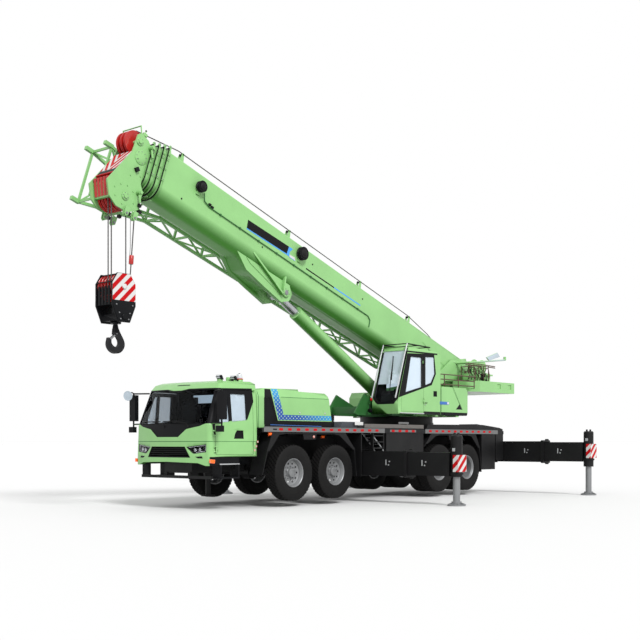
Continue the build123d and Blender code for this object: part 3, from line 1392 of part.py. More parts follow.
with BuildPart() as hook_block:
    cheek = [
        (hook_x - 150, 3790),
        (hook_x - 290, 4120),
        (hook_x - 290, 4560),
        (hook_x - 160, 4760),
        (hook_x + 160, 4760),
        (hook_x + 290, 4560),
        (hook_x + 290, 4120),
        (hook_x + 150, 3790),
    ]
    for y in (-270, 240):
        side_plate(cheek, (y, y + 30))
    cross_bar(hook_x, block_pin_z, (-300, 300), 50)
    for y in sheave_rows:
        grooved(Vector(hook_x, 0, block_pin_z), y, sheave_radius, sheave_width)
    block((hook_x - 150, hook_x + 150), (-245, 245), (crosshead_foot, crosshead_top))
    bore_foot = (hook_x, 0, crosshead_foot - 1)
    round_bar(bore_foot, (hook_x, 0, crosshead_top + 1), shank_radius + seat_gap, Mode.SUBTRACT)
hook_block.part.label = "hook_block"
export_step(hook_block.part, "parts/hook_block.step")

with BuildPart() as hook:
    round_bar((hook_x, 0, 3600), (hook_x, 0, shank_top), shank_radius)
    round_bar((hook_x, 0, nut_foot), (hook_x, 0, nut_top), 85)
    with BuildSketch(Plane(origin=(0, 45, 0), x_dir=(1, 0, 0), z_dir=(0, -1, 0))) as face:
        with BuildLine():
            Polyline((hook_x - 50, 3680), (hook_x + 50, 3680), (hook_x + 60, 3560))
            Spline(
                (hook_x + 60, 3560), (hook_x - 55, 3470), (hook_x - 75, 3380), (hook_x, 3310),
                (hook_x + 95, 3340), (hook_x + 130, 3440),
            )
            Polyline((hook_x + 130, 3440), (hook_x + 190, 3490), (hook_x + 215, 3390))
            Spline(
                (hook_x + 215, 3390), (hook_x + 160, 3240), (hook_x + 20, 3180), (hook_x - 130, 3230),
                (hook_x - 200, 3380), (hook_x - 140, 3520), (hook_x - 50, 3680),
            )
        make_face()
    extrude(face.sketch, amount=90)
    # safety latch across the throat
    round_bar((hook_x + 20, 0, 3572), (hook_x + 140, 0, 3452), 13)
hook.part.label = "hook"
export_step(hook.part, "parts/hook.step")
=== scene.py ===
import bpy
import bmesh
import json
import math
from mathutils import Matrix, Vector
from mathutils.bvhtree import BVHTree


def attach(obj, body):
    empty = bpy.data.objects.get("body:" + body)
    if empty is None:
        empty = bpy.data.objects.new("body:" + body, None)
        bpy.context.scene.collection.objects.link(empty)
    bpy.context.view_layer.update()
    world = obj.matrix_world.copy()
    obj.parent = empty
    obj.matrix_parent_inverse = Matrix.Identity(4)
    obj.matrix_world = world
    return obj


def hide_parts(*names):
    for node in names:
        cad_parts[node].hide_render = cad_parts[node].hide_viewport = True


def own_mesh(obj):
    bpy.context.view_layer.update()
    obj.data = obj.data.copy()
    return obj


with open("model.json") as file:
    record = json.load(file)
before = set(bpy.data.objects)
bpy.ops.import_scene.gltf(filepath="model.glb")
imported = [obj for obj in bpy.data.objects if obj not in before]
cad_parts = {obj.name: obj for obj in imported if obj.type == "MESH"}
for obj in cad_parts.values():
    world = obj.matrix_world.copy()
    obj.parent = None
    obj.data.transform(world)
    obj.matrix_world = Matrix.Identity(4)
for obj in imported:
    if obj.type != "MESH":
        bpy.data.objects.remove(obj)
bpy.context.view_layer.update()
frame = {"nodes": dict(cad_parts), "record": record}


# ---------------- materials
def grey(value):
    return (value, value, value)


def tinted(colour, share):
    return tuple(min(1, c * share) for c in colour)


class Look:
    """A material being made. Its methods add nodes and return the output to use."""

    def __init__(self, name):
        self.material = bpy.data.materials.new(name)
        self.material.use_nodes = True
        self.tree = self.material.node_tree
        self.shader = self.tree.nodes["Principled BSDF"]

    def wire(self, node, sockets):
        """Gives each input of a node a value, or another node's output."""
        for socket, value in sockets.items():
            if isinstance(value, bpy.types.NodeSocket):
                self.tree.links.new(value, node.inputs[socket])
            else:
                node.inputs[socket].default_value = value

    def node(self, kind, sockets, output=0, operation=None):
        made = self.tree.nodes.new("ShaderNode" + kind)
        if operation:
            made.operation = operation
        self.wire(made, sockets)
        return made.outputs[output]

    def place(self, output="Object"):
        """The object's own coordinates, which are the row's metres."""
        return self.node("TexCoord", {}, output)

    def noise(self, scale, detail=4.0, roughness=0.55):
        sockets = {"Vector": self.place(), "Scale": scale, "Detail": detail, "Roughness": roughness}
        return self.node("TexNoise", sockets, "Fac")

    def ramp(self, factor, low, high, first, last):
        """Spreads factor's values from low to high over the two colours."""
        band = self.tree.nodes.new("ShaderNodeValToRGB")
        for stop, at, colour in zip(band.color_ramp.elements, (low, high), (first, last)):
            stop.position, stop.color = at, (*colour, 1)
        self.wire(band, {"Fac": factor})
        return band.outputs["Color"]

    def mix(self, factor, first, last, blend="MIX"):
        """The first colour where the factor is 0, the last where it is 1."""
        made = self.tree.nodes.new("ShaderNodeMix")
        made.data_type, made.blend_type = "RGBA", blend
        self.wire(made, {0: factor, 6: first, 7: last})
        return made.outputs[2]

    def along(self, direction):
        """How far a point lies along a direction."""
        return self.node("VectorMath", {0: self.place(), 1: direction}, "Value", "DOT_PRODUCT")

    def underside_painted_shade(self, upper, shade_colour):
        """A painted shade colour for faces turned down, mixed in by the piece's own normal."""
        facing = self.node("SeparateXYZ", {0: self.place("Normal")}, "Z")
        flipped = self.node("MapRange", {"Value": facing, "From Min": -0.72, "From Max": -0.04}, "Result")
        return self.mix(flipped, (*shade_colour, 1), upper)

    def tone(self, scale, detail, span, first, last, roughness=0.55):
        """Uneven colour from one tint to another in soft patches."""
        patches = self.noise(scale, detail, roughness)
        self.wire(self.shader, {"Base Color": self.ramp(patches, *span, first, last)})
        return patches

    def surface(self, rough, spread, bump_scale, bump):
        """Uneven gloss and a fine bump."""
        gloss = self.ramp(self.noise(2.3, 6.0), 0.3, 0.75, grey(rough - spread), grey(rough + spread))
        height = {"Strength": bump, "Distance": 0.002, "Height": self.noise(bump_scale, 3.0)}
        self.wire(self.shader, {"Roughness": gloss, "Normal": self.node("Bump", height, "Normal")})


def paint(name, colour, rough=0.34, coat=0.0, metallic=0.0, dirt=0.06, bump=0.05, gloss=0.5, shade_colour_below=None):
    """Sprayed paint: a slightly uneven colour, orange-peel bump and road dust in soft patches; a colour below
    is painted shade on faces turned down.
    """
    look = Look(name)
    dusty = look.noise(1.7, 7.0, 0.6)
    colours = look.ramp(dusty, 0.32, 0.7, tinted(colour, 1 - dirt), tinted(colour, 1 + dirt * 0.6))
    look.wire(look.shader, {
        "Base Color": look.underside_painted_shade(colours, shade_colour_below) if shade_colour_below else colours, "Metallic": metallic,
        "Specular IOR Level": gloss, "Coat Weight": coat, "Coat Roughness": 0.12,
    })
    look.surface(rough, 0.07, 140, bump)
    return look.material


def bare_metal(name, colour, rough=0.3, bump=0.08):
    look = Look(name)
    look.tone(9, 5.0, (0.3, 0.75), tinted(colour, 0.82), colour)
    look.wire(look.shader, {"Metallic": 0.9})
    look.surface(rough, 0.08, 220, bump)
    return look.material


def plastic(name, colour, rough=0.5, bump=0.25, scale=420):
    look = Look(name)
    look.tone(6, 5.0, (0.3, 0.75), tinted(colour, 0.8), tinted(colour, 1.15))
    look.wire(look.shader, {"Specular IOR Level": 0.2})
    look.surface(rough, 0.06, scale, bump)
    return look.material


def tinted_glass(name, colour):
    """Clear glass with a light tint, rougher where it has a film of dust."""
    look = Look(name)
    film = look.tone(1.2, 3.0, (0.3, 0.8), tinted(colour, 0.97), colour)
    haze = look.ramp(film, 0.3, 0.8, grey(0.0), grey(0.03))
    look.wire(look.shader, {"Roughness": haze, "Transmission Weight": 1.0, "IOR": 1.12})
    return look.material


def pane_with_painted_sky(name, colour, alpha):
    """A window with the sky's reflection painted into its face as a pale colour, letting the rest through."""
    look = Look(name)
    look.tone(1.2, 3.0, (0.3, 0.8), tinted(colour, 0.95), colour)
    look.surface(0.08, 0.03, 60, 0.01)
    look.wire(look.shader, {"Alpha": alpha})
    look.material.surface_render_method = "BLENDED"
    return look.material


def glowing(name, colour, strength):
    """A lamp's lens: bright plastic with a little light of its own. On a window pane that light is painted
    light.
    """
    look = Look(name)
    look.tone(60, 2.0, (0.3, 0.7), tinted(colour, 0.7), colour)
    look.wire(look.shader, {"Emission Color": (*colour, 1), "Emission Strength": strength, "Roughness": 0.2})
    return look.material


# the green's colour below is painted shade: a darker green on faces turned down
GREEN = paint("paint_green", (0.215, 0.440, 0.163), coat=0.08, gloss=0.35, shade_colour_below=(0.055, 0.200, 0.030))
# deep green: the colour of seams and of the boom's cable pipe and clips, and painted shade on the front
# plates by the operator's cab
DEEP_GREEN_AND_SHADE = paint("paint_deep_green_and_shade", (0.026, 0.115, 0.030), gloss=0.25)
DARK = paint("paint_dark", (0.0052, 0.0055, 0.0065), rough=0.45, gloss=0.1)
BLACK = paint("frame_black", (0.0065, 0.0065, 0.007), rough=0.5, dirt=0.25, gloss=0.2)
GREY = paint("deck_grey", (0.042, 0.046, 0.055), rough=0.5, gloss=0.3)
SILVER = paint("silver", (0.22, 0.225, 0.23), rough=0.4, metallic=0.5)
ALLOY = paint("rail_alloy", (0.135, 0.135, 0.135), rough=0.45, metallic=0.25)
TREAD = paint("tread_plate", (0.15, 0.14, 0.13), rough=0.42, metallic=0.4)
PALE = paint("pale_steel", (0.40, 0.41, 0.42), rough=0.4, metallic=0.3)
RED = paint("cast_red", (0.36, 0.008, 0.006), rough=0.4, coat=0.25)
WHITE = paint("white_paint", (0.52, 0.52, 0.51), rough=0.4)
BLUE = paint("sign_blue", (0.012, 0.10, 0.36), rough=0.35, coat=0.25)
CHROME = bare_metal("steel_rod", (0.50, 0.51, 0.53), rough=0.2)
IRON = bare_metal("iron", (0.03, 0.03, 0.032), rough=0.55)
ROPE = bare_metal("rope", (0.10, 0.097, 0.094), rough=0.5)
COPPER = bare_metal("hose_fitting", (0.16, 0.125, 0.085), rough=0.5)
RUST = paint("pipe_brown", (0.075, 0.045, 0.030), rough=0.5, gloss=0.3)
TYRE = plastic("tyre", (0.0048, 0.0046, 0.0045), rough=0.75, bump=0.4, scale=180)
FORGED = paint("forged_hook", (0.0085, 0.009, 0.0105), rough=0.42, gloss=0.9)
TRIM = plastic("trim", (0.005, 0.005, 0.0055), rough=0.6)
GLASS = tinted_glass("glass", (0.70, 0.775, 0.835))
# door and operator's cab windows: a painted sky reflection, partly see-through
PAINTED_SKY_GLASS = pane_with_painted_sky("painted_sky_glass", (0.66, 0.78, 0.88), 0.42)
OP_PAINTED_SKY_PANE = pane_with_painted_sky("op_painted_sky_pane", (0.60, 0.70, 0.79), 0.74)
# the driver's cab's rear window: a glow of painted light for the bright sky seen through it
REAR_PANE_PAINTED_LIGHT = glowing("rear_pane", (0.40, 0.47, 0.53), 0.9)
LAMP_GLASS = tinted_glass("lamp_glass", (0.95, 0.96, 0.97))
# a mirror's face: the sky it reflects painted in as a pale blue-grey
MIRROR_PAINTED_REFLECTION = paint("mirror_painted_reflection", (0.36, 0.42, 0.47), rough=0.12)
LAMP = glowing("lamp_clear", (0.55, 0.57, 0.6), 0.05)
AMBER = glowing("lamp_amber", (0.95, 0.12, 0.004), 0.30)
SKY_BLUE = paint("sky_blue", (0.045, 0.26, 0.62))
ROAD_RED = paint("reflector_red", (0.40, 0.0015, 0.004), rough=0.5, gloss=0.12)

# each slot's looks, with the one that the CAD nodes take first
SLOT_LOOKS = {
    "paint_green": (GREEN, DEEP_GREEN_AND_SHADE), "paint_dark": (DARK, BLUE), "frame_black": (BLACK, GREY),
    "silver": (SILVER, PALE, ALLOY, TREAD, WHITE, MIRROR_PAINTED_REFLECTION), "cast_red": (RED, ROAD_RED), "rope": (ROPE,),
    "steel_rod": (CHROME, COPPER), "iron": (IRON, FORGED, RUST), "tyre": (TYRE,), "trim": (TRIM, SKY_BLUE),
    "glass": (GLASS, LAMP_GLASS, PAINTED_SKY_GLASS, OP_PAINTED_SKY_PANE, REAR_PANE_PAINTED_LIGHT, LAMP, AMBER),
}
SLOT_OF = {look.name: slot for slot, looks in SLOT_LOOKS.items() for look in looks}
NODES = frame["nodes"]
for entry in frame["record"]["subparts"]:
    materials = NODES[entry["node"]].data.materials
    materials.clear()
    materials.append(SLOT_LOOKS[entry["material_slot"]][0])


# ---------------- mesh building
BOX_FACES = [(0, 1, 3, 2), (4, 6, 7, 5), (0, 4, 5, 1), (2, 3, 7, 6), (0, 2, 6, 4), (1, 5, 7, 3)]
SIDES = (("left", 1), ("right", -1))
ORIGIN, AHEAD, ACROSS, UP = (0, 0, 0), (1, 0, 0), (0, 1, 0), (0, 0, 1)
BEVEL_ANGLE = 28


def rectangle(left, right, low, high):
    return [(left, low), (right, low), (right, high), (left, high)]


def strip(start, end, width):
    """A narrow four-cornered outline along a line, for a seam or a stripe."""
    a, b = Vector(start), Vector(end)
    across = Vector((a.y - b.y, b.x - a.x)).normalized() * width / 2
    return [tuple(a + across), tuple(a - across), tuple(b - across), tuple(b + across)]


def circle(count, turned=0.0):
    """Cosine and sine of evenly spread angles; turned is in steps."""
    turns = [math.tau * (k + turned) / count for k in range(count)]
    return [(math.cos(turn), math.sin(turn)) for turn in turns]


def across_and_up(direction):
    direction = Vector(direction).normalized()
    hint = Vector(UP if abs(direction.z) < 0.9 else AHEAD)
    side = direction.cross(hint).normalized()
    return side, side.cross(direction).normalized()


def ring_faces(count, rings, closed=False, caps=True):
    """Faces between rings of as many points each, closed into a loop or with a cap at both ends."""
    faces = []
    if caps and not closed:
        faces = [tuple(range(count)), tuple(reversed(range((rings - 1) * count, rings * count)))]
    for i in range(rings if closed else rings - 1):
        a, b = i * count, (i + 1) % rings * count
        faces += [(a + k, a + (k + 1) % count, b + (k + 1) % count, b + k) for k in range(count)]
    return faces


class Shape:
    """Collects one piece's geometry, in metres in the row frame. With sign -1 it comes out on the right."""

    def __init__(self, sign=1, data=None):
        self.bm = bmesh.new()
        self.sign = sign
        if data:
            self.bm.from_mesh(data)

    def add(self, points, faces, look=0):
        made = [self.bm.verts.new((x, y * self.sign, z)) for x, y, z in points]
        for face in faces:
            self.bm.faces.new([made[i] for i in face]).material_index = look
        return self

    def box(self, x, y, z, look=0):
        points = [(a, b, c) for a in sorted(x) for b in sorted(y) for c in sorted(z)]
        return self.add(points, BOX_FACES, look)

    def prism(self, outline, axis, span, look=0):
        """An outline in the two other axes, in x, y, z order, drawn out along axis over span."""
        at = "xyz".index(axis)
        points = [(*p[:at], depth, *p[at:]) for depth in sorted(span) for p in outline]
        return self.add(points, ring_faces(len(outline), 2), look)

    def plate(self, outline, y, thick, look=0):
        """An (x, z) outline that stands out from y."""
        return self.prism(outline, "y", (y, y + thick), look)

    def bar(self, start, end, radius, radius2=None, sides=20, look=0):
        start, end = Vector(start), Vector(end)
        side, up = across_and_up(end - start)
        ends = ((start, radius), (end, radius if radius2 is None else radius2))
        points = [spot + (side * c + up * s) * size for spot, size in ends for c, s in circle(sides)]
        return self.add(points, ring_faces(sides, 2), look)

    def bolt(self, spot, reach, radius, look=0, sides=6):
        """A short bar that stands out along y."""
        return self.bar(spot, (spot[0], spot[1] + reach, spot[2]), radius, sides=sides, look=look)

    def bolt_ring(self, centre, ring, count, reach, radius, look=0, turned=0.0, sides=6):
        for c, s in circle(count, turned):
            self.bolt((centre[0] + ring * c, centre[1], centre[2] + ring * s), reach, radius, look, sides)

    def tube(self, path, radius, sides=10, look=0):
        """A round tube along a path of points, with mitred corners."""
        path = [Vector(p) for p in path]
        side, up = across_and_up(path[1] - path[0])
        points = []
        for i, here in enumerate(path):
            before = (here - path[i - 1]).normalized() if i else (path[1] - here).normalized()
            after = (path[i + 1] - here).normalized() if i + 1 < len(path) else before
            tangent = (before + after).normalized()
            side = (side - tangent * side.dot(tangent)).normalized()
            up = tangent.cross(side)
            stretch = 1 / max(0.5, math.sqrt(max(0.0, (1 + before.dot(after)) / 2)))
            bend = after - before
            bend = bend.normalized() if bend.length > 1e-6 else Vector()
            for c, s in circle(sides):
                out = (side * c + up * s) * radius
                points.append(here + out + bend * out.dot(bend) * (stretch - 1))
        return self.add(points, ring_faces(sides, len(path)), look)

    def lathe(self, profile, centre, axis, sides=48, look=0):
        """A closed (along, radius) outline turned about an axis through the centre."""
        axis, centre = Vector(axis).normalized(), Vector(centre)
        side, up = across_and_up(axis)
        points = [centre + axis * along + (side * c + up * s) * radius
                  for c, s in circle(sides) for along, radius in profile]
        self.add(points, ring_faces(len(profile), sides, closed=True), look)
        bmesh.ops.remove_doubles(self.bm, verts=self.bm.verts, dist=1e-5)
        return self

    def button(self, centre, axis, rim, crown, sides, look=0):
        """A turned disc on a face: its rim and its crown are each a (height, radius)."""
        return self.lathe([(0, 0), (0, rim[1]), rim, crown, (crown[0], 0)], centre, axis, sides, look)

    def ball(self, centre, radius, flatten=(1, 1, 1), look=0, rows=10, sides=16):
        points = []
        for i in range(rows + 1):
            along, out = -math.cos(math.pi * i / rows), math.sin(math.pi * i / rows)
            ring = [Vector((c * out, s * out, along)) * radius * Vector(flatten) for c, s in circle(sides)]
            points += [Vector(centre) + spot for spot in ring]
        self.add(points, ring_faces(sides, rows + 1, caps=False), look)
        bmesh.ops.remove_doubles(self.bm, verts=self.bm.verts, dist=1e-6)
        return self

    def mesh(self, name, bevel=0.0, smooth=35, place=None):
        bm = self.bm
        bmesh.ops.dissolve_degenerate(bm, edges=bm.edges, dist=1e-6)
        bmesh.ops.recalc_face_normals(bm, faces=bm.faces)
        if bevel:
            limit = math.radians(BEVEL_ANGLE)
            sharp = [e for e in bm.edges if len(e.link_faces) == 2 and e.calc_face_angle(0) > limit]
            rounding = {"segments": 2, "profile": 0.6, "affect": "EDGES", "clamp_overlap": True}
            bmesh.ops.bevel(bm, geom=sharp, offset=bevel, **rounding)
        if place is not None:
            bm.transform(place)
        return finished(bm, name, smooth)

    def make(self, name, looks, body, bevel=0.0, smooth=35, place=None, stands_for=()):
        return show(name, self.mesh(name, bevel, smooth, place), looks, body, stands_for)


def finished(bm, name, smooth):
    data = bpy.data.meshes.new(name)
    bm.to_mesh(data)
    bm.free()
    return shade(data, smooth)


def shade(data, smooth):
    data.polygons.foreach_set("use_smooth", [True] * len(data.polygons))
    data.set_sharp_from_angle(angle=math.radians(smooth))
    return data


def show(name, data, looks, body, stands_for=(), matrix=None):
    """Puts a mesh in the scene with its materials, riding on a body."""
    looks = looks if isinstance(looks, (list, tuple)) else [looks]
    if not data.materials:
        for look in looks:
            data.materials.append(look)
    piece = bpy.data.objects.new(name, data)
    bpy.context.scene.collection.objects.link(piece)
    if matrix is not None:
        piece.matrix_world = matrix
    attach(piece, body)
    if stands_for:
        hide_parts(*stands_for)
    return piece


def modified(data, kind, settings, tool=None):
    """The mesh after one modifier, whose settings are given by name; a tool is the mesh that cuts it."""
    held = [bpy.data.objects.new("held", mesh) for mesh in (data, tool) if mesh]
    for thing in held:
        bpy.context.scene.collection.objects.link(thing)
    step = held[0].modifiers.new("step", kind)
    for setting, value in settings.items():
        setattr(step, setting, value)
    if tool:
        step.object = held[1]
    bpy.context.view_layer.update()
    result = bpy.data.meshes.new_from_object(held[0].evaluated_get(bpy.context.evaluated_depsgraph_get()))
    result.name = data.name
    for thing in held:
        bpy.data.objects.remove(thing)
    return result


def level_normals(data):
    """Large flat faces keep their own normal where they run into a small fillet."""
    return modified(data, "WEIGHTED_NORMAL", {"keep_sharp": True})


# ---------------- painted copies of CAD nodes
BODY_OF = {node: body for body, nodes in frame["record"]["behaviour"]["bodies"].items() for node in nodes}


def joined(nodes):
    every = bmesh.new()
    for node in nodes:
        every.from_mesh(NODES[node].data)
    return BVHTree.FromBMesh(every)


def inside(u, v, outline):
    found = False
    for (u0, v0), (u1, v1) in zip(outline, outline[1:] + outline[:1]):
        if (v0 > v) != (v1 > v) and u < u0 + (u1 - u0) * (v - v0) / (v1 - v0):
            found = not found
    return found


def cut_region(bm, look, axis, sign, outline, span):
    """Cuts an outline, seen along an axis, into the faces that face that way, and gives them a material."""
    along = "xyz".index(axis)
    plane = [i for i in range(3) if i != along]

    def near(corners, margin=0.0):
        low = [min(p[i] for p in corners) - margin for i in (0, 1)]
        high = [max(p[i] for p in corners) + margin for i in (0, 1)]
        found = []
        for face in bm.faces:
            if face.normal[along] * sign < 0.2 or not span[0] <= face.calc_center_median()[along] <= span[1]:
                continue
            spread = [[vert.co[i] for vert in face.verts] for i in plane]
            if all(max(spread[i]) > low[i] and min(spread[i]) < high[i] for i in (0, 1)):
                found.append(face)
        return found

    for start, end in zip(outline, outline[1:] + outline[:1]):
        point, normal = Vector(), Vector()
        point[plane[0]], point[plane[1]] = start
        normal[plane[0]], normal[plane[1]] = start[1] - end[1], end[0] - start[0]
        geometry = set(near((start, end), 1e-4))
        for face in list(geometry):
            geometry.update(face.edges)
            geometry.update(face.verts)
        plane_of_cut = {"plane_co": point, "plane_no": normal.normalized()}
        bmesh.ops.bisect_plane(bm, geom=list(geometry), dist=2e-5, **plane_of_cut)
    for face in near(outline):
        middle = face.calc_center_median()
        if inside(middle[plane[0]], middle[plane[1]], outline):
            face.material_index = look


def enclosed(nodes):
    """Tells whether a face looks at another face of these nodes, as the inside of a cab or a recess does."""
    tree = joined(nodes)

    def test(face, reach=3.0):
        start = face.calc_center_median() + face.normal * 1e-3
        return tree.ray_cast(start, face.normal, reach)[0] is not None

    return test


def repaint(node, looks, regions, lining=None, closed=None, also=None):
    """A copy of a CAD node in its own shape, with coloured regions cut in. It stands for the node."""
    bm = bmesh.new()
    bm.from_mesh(NODES[node].data)
    bmesh.ops.remove_doubles(bm, verts=bm.verts, dist=1e-6)
    bm.normal_update()
    for face in bm.faces:
        face.material_index = lining if closed and closed(face) else 0
    for region in regions:
        cut_region(bm, *region)
    if also:
        for face in bm.faces:
            face.material_index = also(face, face.calc_center_median(), face.material_index)
    data = level_normals(finished(bm, node + "_painted", 30))
    return show(node + "_painted", data, looks, BODY_OF[node], (node,))


def both_sides(look, outline, low, high):
    """The same region on the left and on the right."""
    return [(look, "y", 1, outline, (low, high)), (look, "y", -1, outline, (-high, -low))]


# ---------------- fitting pieces to CAD faces
TREES = {}


def face_at(nodes, axis, sign, first, second, missing=0.0):
    """The coordinate along an axis of some nodes' outermost face, at a place in the two other axes."""
    along = "xyz".index(axis)
    start, direction = [first, second], Vector()
    start.insert(along, sign * 30)
    direction[along] = -sign
    if nodes not in TREES:
        TREES[nodes] = joined(nodes)
    found = TREES[nodes].ray_cast(Vector(start), direction)[0]
    return found[along] if found else missing


def side_y(nodes, sign, x, z, missing):
    """How far some nodes' left or right side lies from the middle, at a place."""
    return sign * face_at(nodes, "y", sign, x, z, sign * missing)


def clip(outline, point, normal):
    """The part of an outline on the side of a line that its normal points to."""
    kept = []
    depths = [(x - point[0]) * normal[0] + (z - point[1]) * normal[1] for x, z in outline]
    ahead = zip(outline, outline[1:] + outline[:1], depths, depths[1:] + depths[:1])
    for here, after, a, b in ahead:
        if a >= 0:
            kept.append(here)
        if (a > 0) != (b > 0) and a != b:
            t = a / (a - b)
            kept.append((here[0] + (after[0] - here[0]) * t, here[1] + (after[1] - here[1]) * t))
    return kept


def bands(outline, slope, width, offset=0.0):
    """Every second diagonal band of an outline; slope is how far a band rises for each unit across."""
    normal = Vector((-slope, 1)).normalized()
    depths = [p[0] * normal.x + p[1] * normal.y - offset for p in outline]
    found = []
    for step in range(math.floor(min(depths) / (2 * width)), math.ceil(max(depths) / (2 * width)) + 1):
        low, high = (tuple(normal * (width * (2 * step + k) + offset)) for k in (0, 1))
        band = clip(clip(outline, low, normal), high, -normal)
        if len(band) > 2:
            found.append(band)
    return found


def board(name, body, axis, depth, sign, outline, marks, thick=0.006):
    """A flat sign board with raised marks of a second colour, each mark an outline."""
    shape = Shape().prism(outline, axis, (depth, depth + sign * thick), 0)
    for mark in marks:
        shape.prism(mark, axis, (depth + sign * thick * 0.9, depth + sign * (thick + 0.0015)), 1)
    return shape.make(name, [WHITE, ROAD_RED], body)


# ---------------- wheels
AXLES = {"1": 2.670, "2": 1.250, "3": -2.935, "4": -4.230}
HUB_Z = 0.740
WHEEL_Y = 1.2425
TWIN = 0.350
# half of the tyre's outline, from the bead to the crown, as (y, radius)
TYRE_HALF = [
    (0.1275, 0.318), (0.1400, 0.330), (0.1520, 0.372), (0.1575, 0.440), (0.1575, 0.480), (0.1560, 0.486),
    (0.1560, 0.520), (0.1540, 0.526), (0.1500, 0.560), (0.1420, 0.584), (0.1330, 0.596),
]
TYRE_PROFILE = [(-y, r) for y, r in TYRE_HALF] + [(0, 0.601)] + TYRE_HALF[::-1]
# tread block rows: middle y, half width, angular half width and stagger in pitches
TREAD_ROWS = [
    (-0.112, 0.025, 0.36, 0.0), (-0.056, 0.024, 0.34, 0.5), (0, 0.026, 0.34, 0.0), (0.056, 0.024, 0.34, 0.5),
    (0.112, 0.025, 0.36, 0.0),
]
TREAD_PITCHES = 44
RIM = 0.3175


def tread_block(shape, middle, row, half, spread, place):
    """One block, a little narrower at its top and leaning at its ends."""
    points = []
    for radius, narrow in ((0.594, 1), (0.6145, 0.88)):
        for edge in (-1, 1):
            reach = radius - (0.004 if abs(row) > 0.1 and edge * row > 0 else 0)
            for way in (-1, 1):
                turn = math.tau * (place + way * spread * narrow + edge * 0.12) / TREAD_PITCHES
                y = middle + row + edge * half * narrow
                points.append((math.sin(turn) * reach, y, math.cos(turn) * reach))
    shape.add(points, BOX_FACES)


def tyre_mesh(centres):
    shape = Shape()
    for middle in centres:
        shape.lathe([(middle + y, r) for y, r in TYRE_PROFILE], ORIGIN, ACROSS, 72)
        for row, half, spread, stagger in TREAD_ROWS:
            for pitch in range(TREAD_PITCHES):
                tread_block(shape, middle, row, half, spread, pitch + stagger)
    return shape.mesh("tyre", smooth=30)


def rim_mesh(disc, hub_end, back):
    """disc is where the wheel's disc lies and back its inner rim edge, both from the outer tyre's middle."""
    rim = Shape().lathe([
        (back, RIM), (back, RIM - 0.02), (disc - 0.03, RIM - 0.045), (disc - 0.012, 0.262),
        (disc - 0.012, 0.06), (disc, 0.06), (disc + 0.004, 0.236), (disc + 0.018, 0.262), (0.088, 0.276),
        (0.100, 0.286), (0.118, 0.290), (0.130, 0.298), (0.1345, 0.306), (0.1345, 0.314), (0.129, RIM),
    ], ORIGIN, ACROSS, 72)
    holes = Shape()
    holes.bolt_ring((0, disc - 0.06, 0), 0.205, 10, 0.12, 0.024, sides=18)
    solid = {"operation": "DIFFERENCE", "solver": "EXACT"}
    hub = Shape(data=modified(rim.mesh("rim"), "BOOLEAN", solid, holes.mesh("rim_holes")))
    hub.lathe([
        (disc - 0.012, 0.0), (disc - 0.012, 0.118), (disc + 0.012, 0.118), (disc + 0.016, 0.112),
        (hub_end - 0.02, 0.100), (hub_end - 0.006, 0.094), (hub_end, 0.082), (hub_end, 0.0),
    ], ORIGIN, ACROSS, 40)
    for c, s in circle(10, 0.5):
        x, z = 0.1425 * c, 0.1425 * s
        hub.bar((x, disc, z), (x, disc + 0.022, z), 0.016, 0.0155, sides=6)
        hub.bolt((x, disc + 0.02, z), 0.016, 0.009, sides=10)
    hub.bolt_ring((0, hub_end - 0.002, 0), 0.064, 8, 0.008, 0.007, turned=0.5)
    return hub.mesh("rim", smooth=28)


single = (tyre_mesh([0]), rim_mesh(0.025, 0.094, -0.1335))
twin = (tyre_mesh([0, -TWIN]), rim_mesh(-0.135, 0.058, -0.1335 - TWIN))
for axle, axle_x in AXLES.items():
    tyre_data, rim_data = twin if axle in "34" else single
    for side, sign in SIDES:
        wheel = f"wheel_{axle}_{side}"
        turn = Matrix.Rotation(0 if sign > 0 else math.pi, 4, "Z")
        place = Matrix.Translation((axle_x, sign * WHEEL_Y, HUB_Z)) @ turn
        show(f"tyre_{axle}_{side}", tyre_data, TYRE, wheel, (wheel,), place)
        show(f"rim_{axle}_{side}", rim_data, SILVER, wheel, (), place)


# ---------------- driver's cab: colours
CAB_NODES = ("cab_shell", "cab_door_left", "cab_door_right")


def mirrored(outline):
    return [(-y, z) for y, z in reversed(outline)]


# the dark windscreen field as (y, z): its left half from the foot to the top, closed over the right half
SCREEN_HALF = [
    (0.33, 1.516), (0.56, 1.68), (0.90, 1.74), (1.03, 1.79),
    (1.30, 1.80), (1.30, 2.532), (0.34, 2.532), (0.13, 2.498),
]
SCREEN_RIGHT = mirrored(SCREEN_HALF)
WINDSCREEN_BLACK = SCREEN_RIGHT[3:] + SCREEN_HALF + SCREEN_RIGHT[:3]
SIDE_BLACK = [(5.05, 1.787), (5.05, 2.518), (3.80, 2.545), (3.77, 2.266), (3.95, 1.884)]
VISOR_SLOT = [(-0.12, 2.602), (0.28, 2.602), (0.26, 2.622), (-0.10, 2.622)]
GRILLE = [(-0.520, 1.318), (0.520, 1.318), (0.668, 1.090), (-0.668, 1.090)]
HEADLIGHT = [(0.560, 1.312), (1.060, 1.366), (1.060, 1.204), (0.760, 1.168), (0.700, 1.190)]
FOG_LAMP = [(0.790, 1.112), (0.960, 1.122), (0.985, 1.076), (0.860, 1.076)]
HANDLE = [(4.325, 1.480), (4.060, 1.480), (4.070, 1.655), (4.240, 1.655), (4.290, 1.590)]
FRONT = (4.30, 5.30)
CAB_FLOOR = 1.108
CREASE = 1.424
CAB_MIDDLE = Vector((4.30, 0, 1.90))

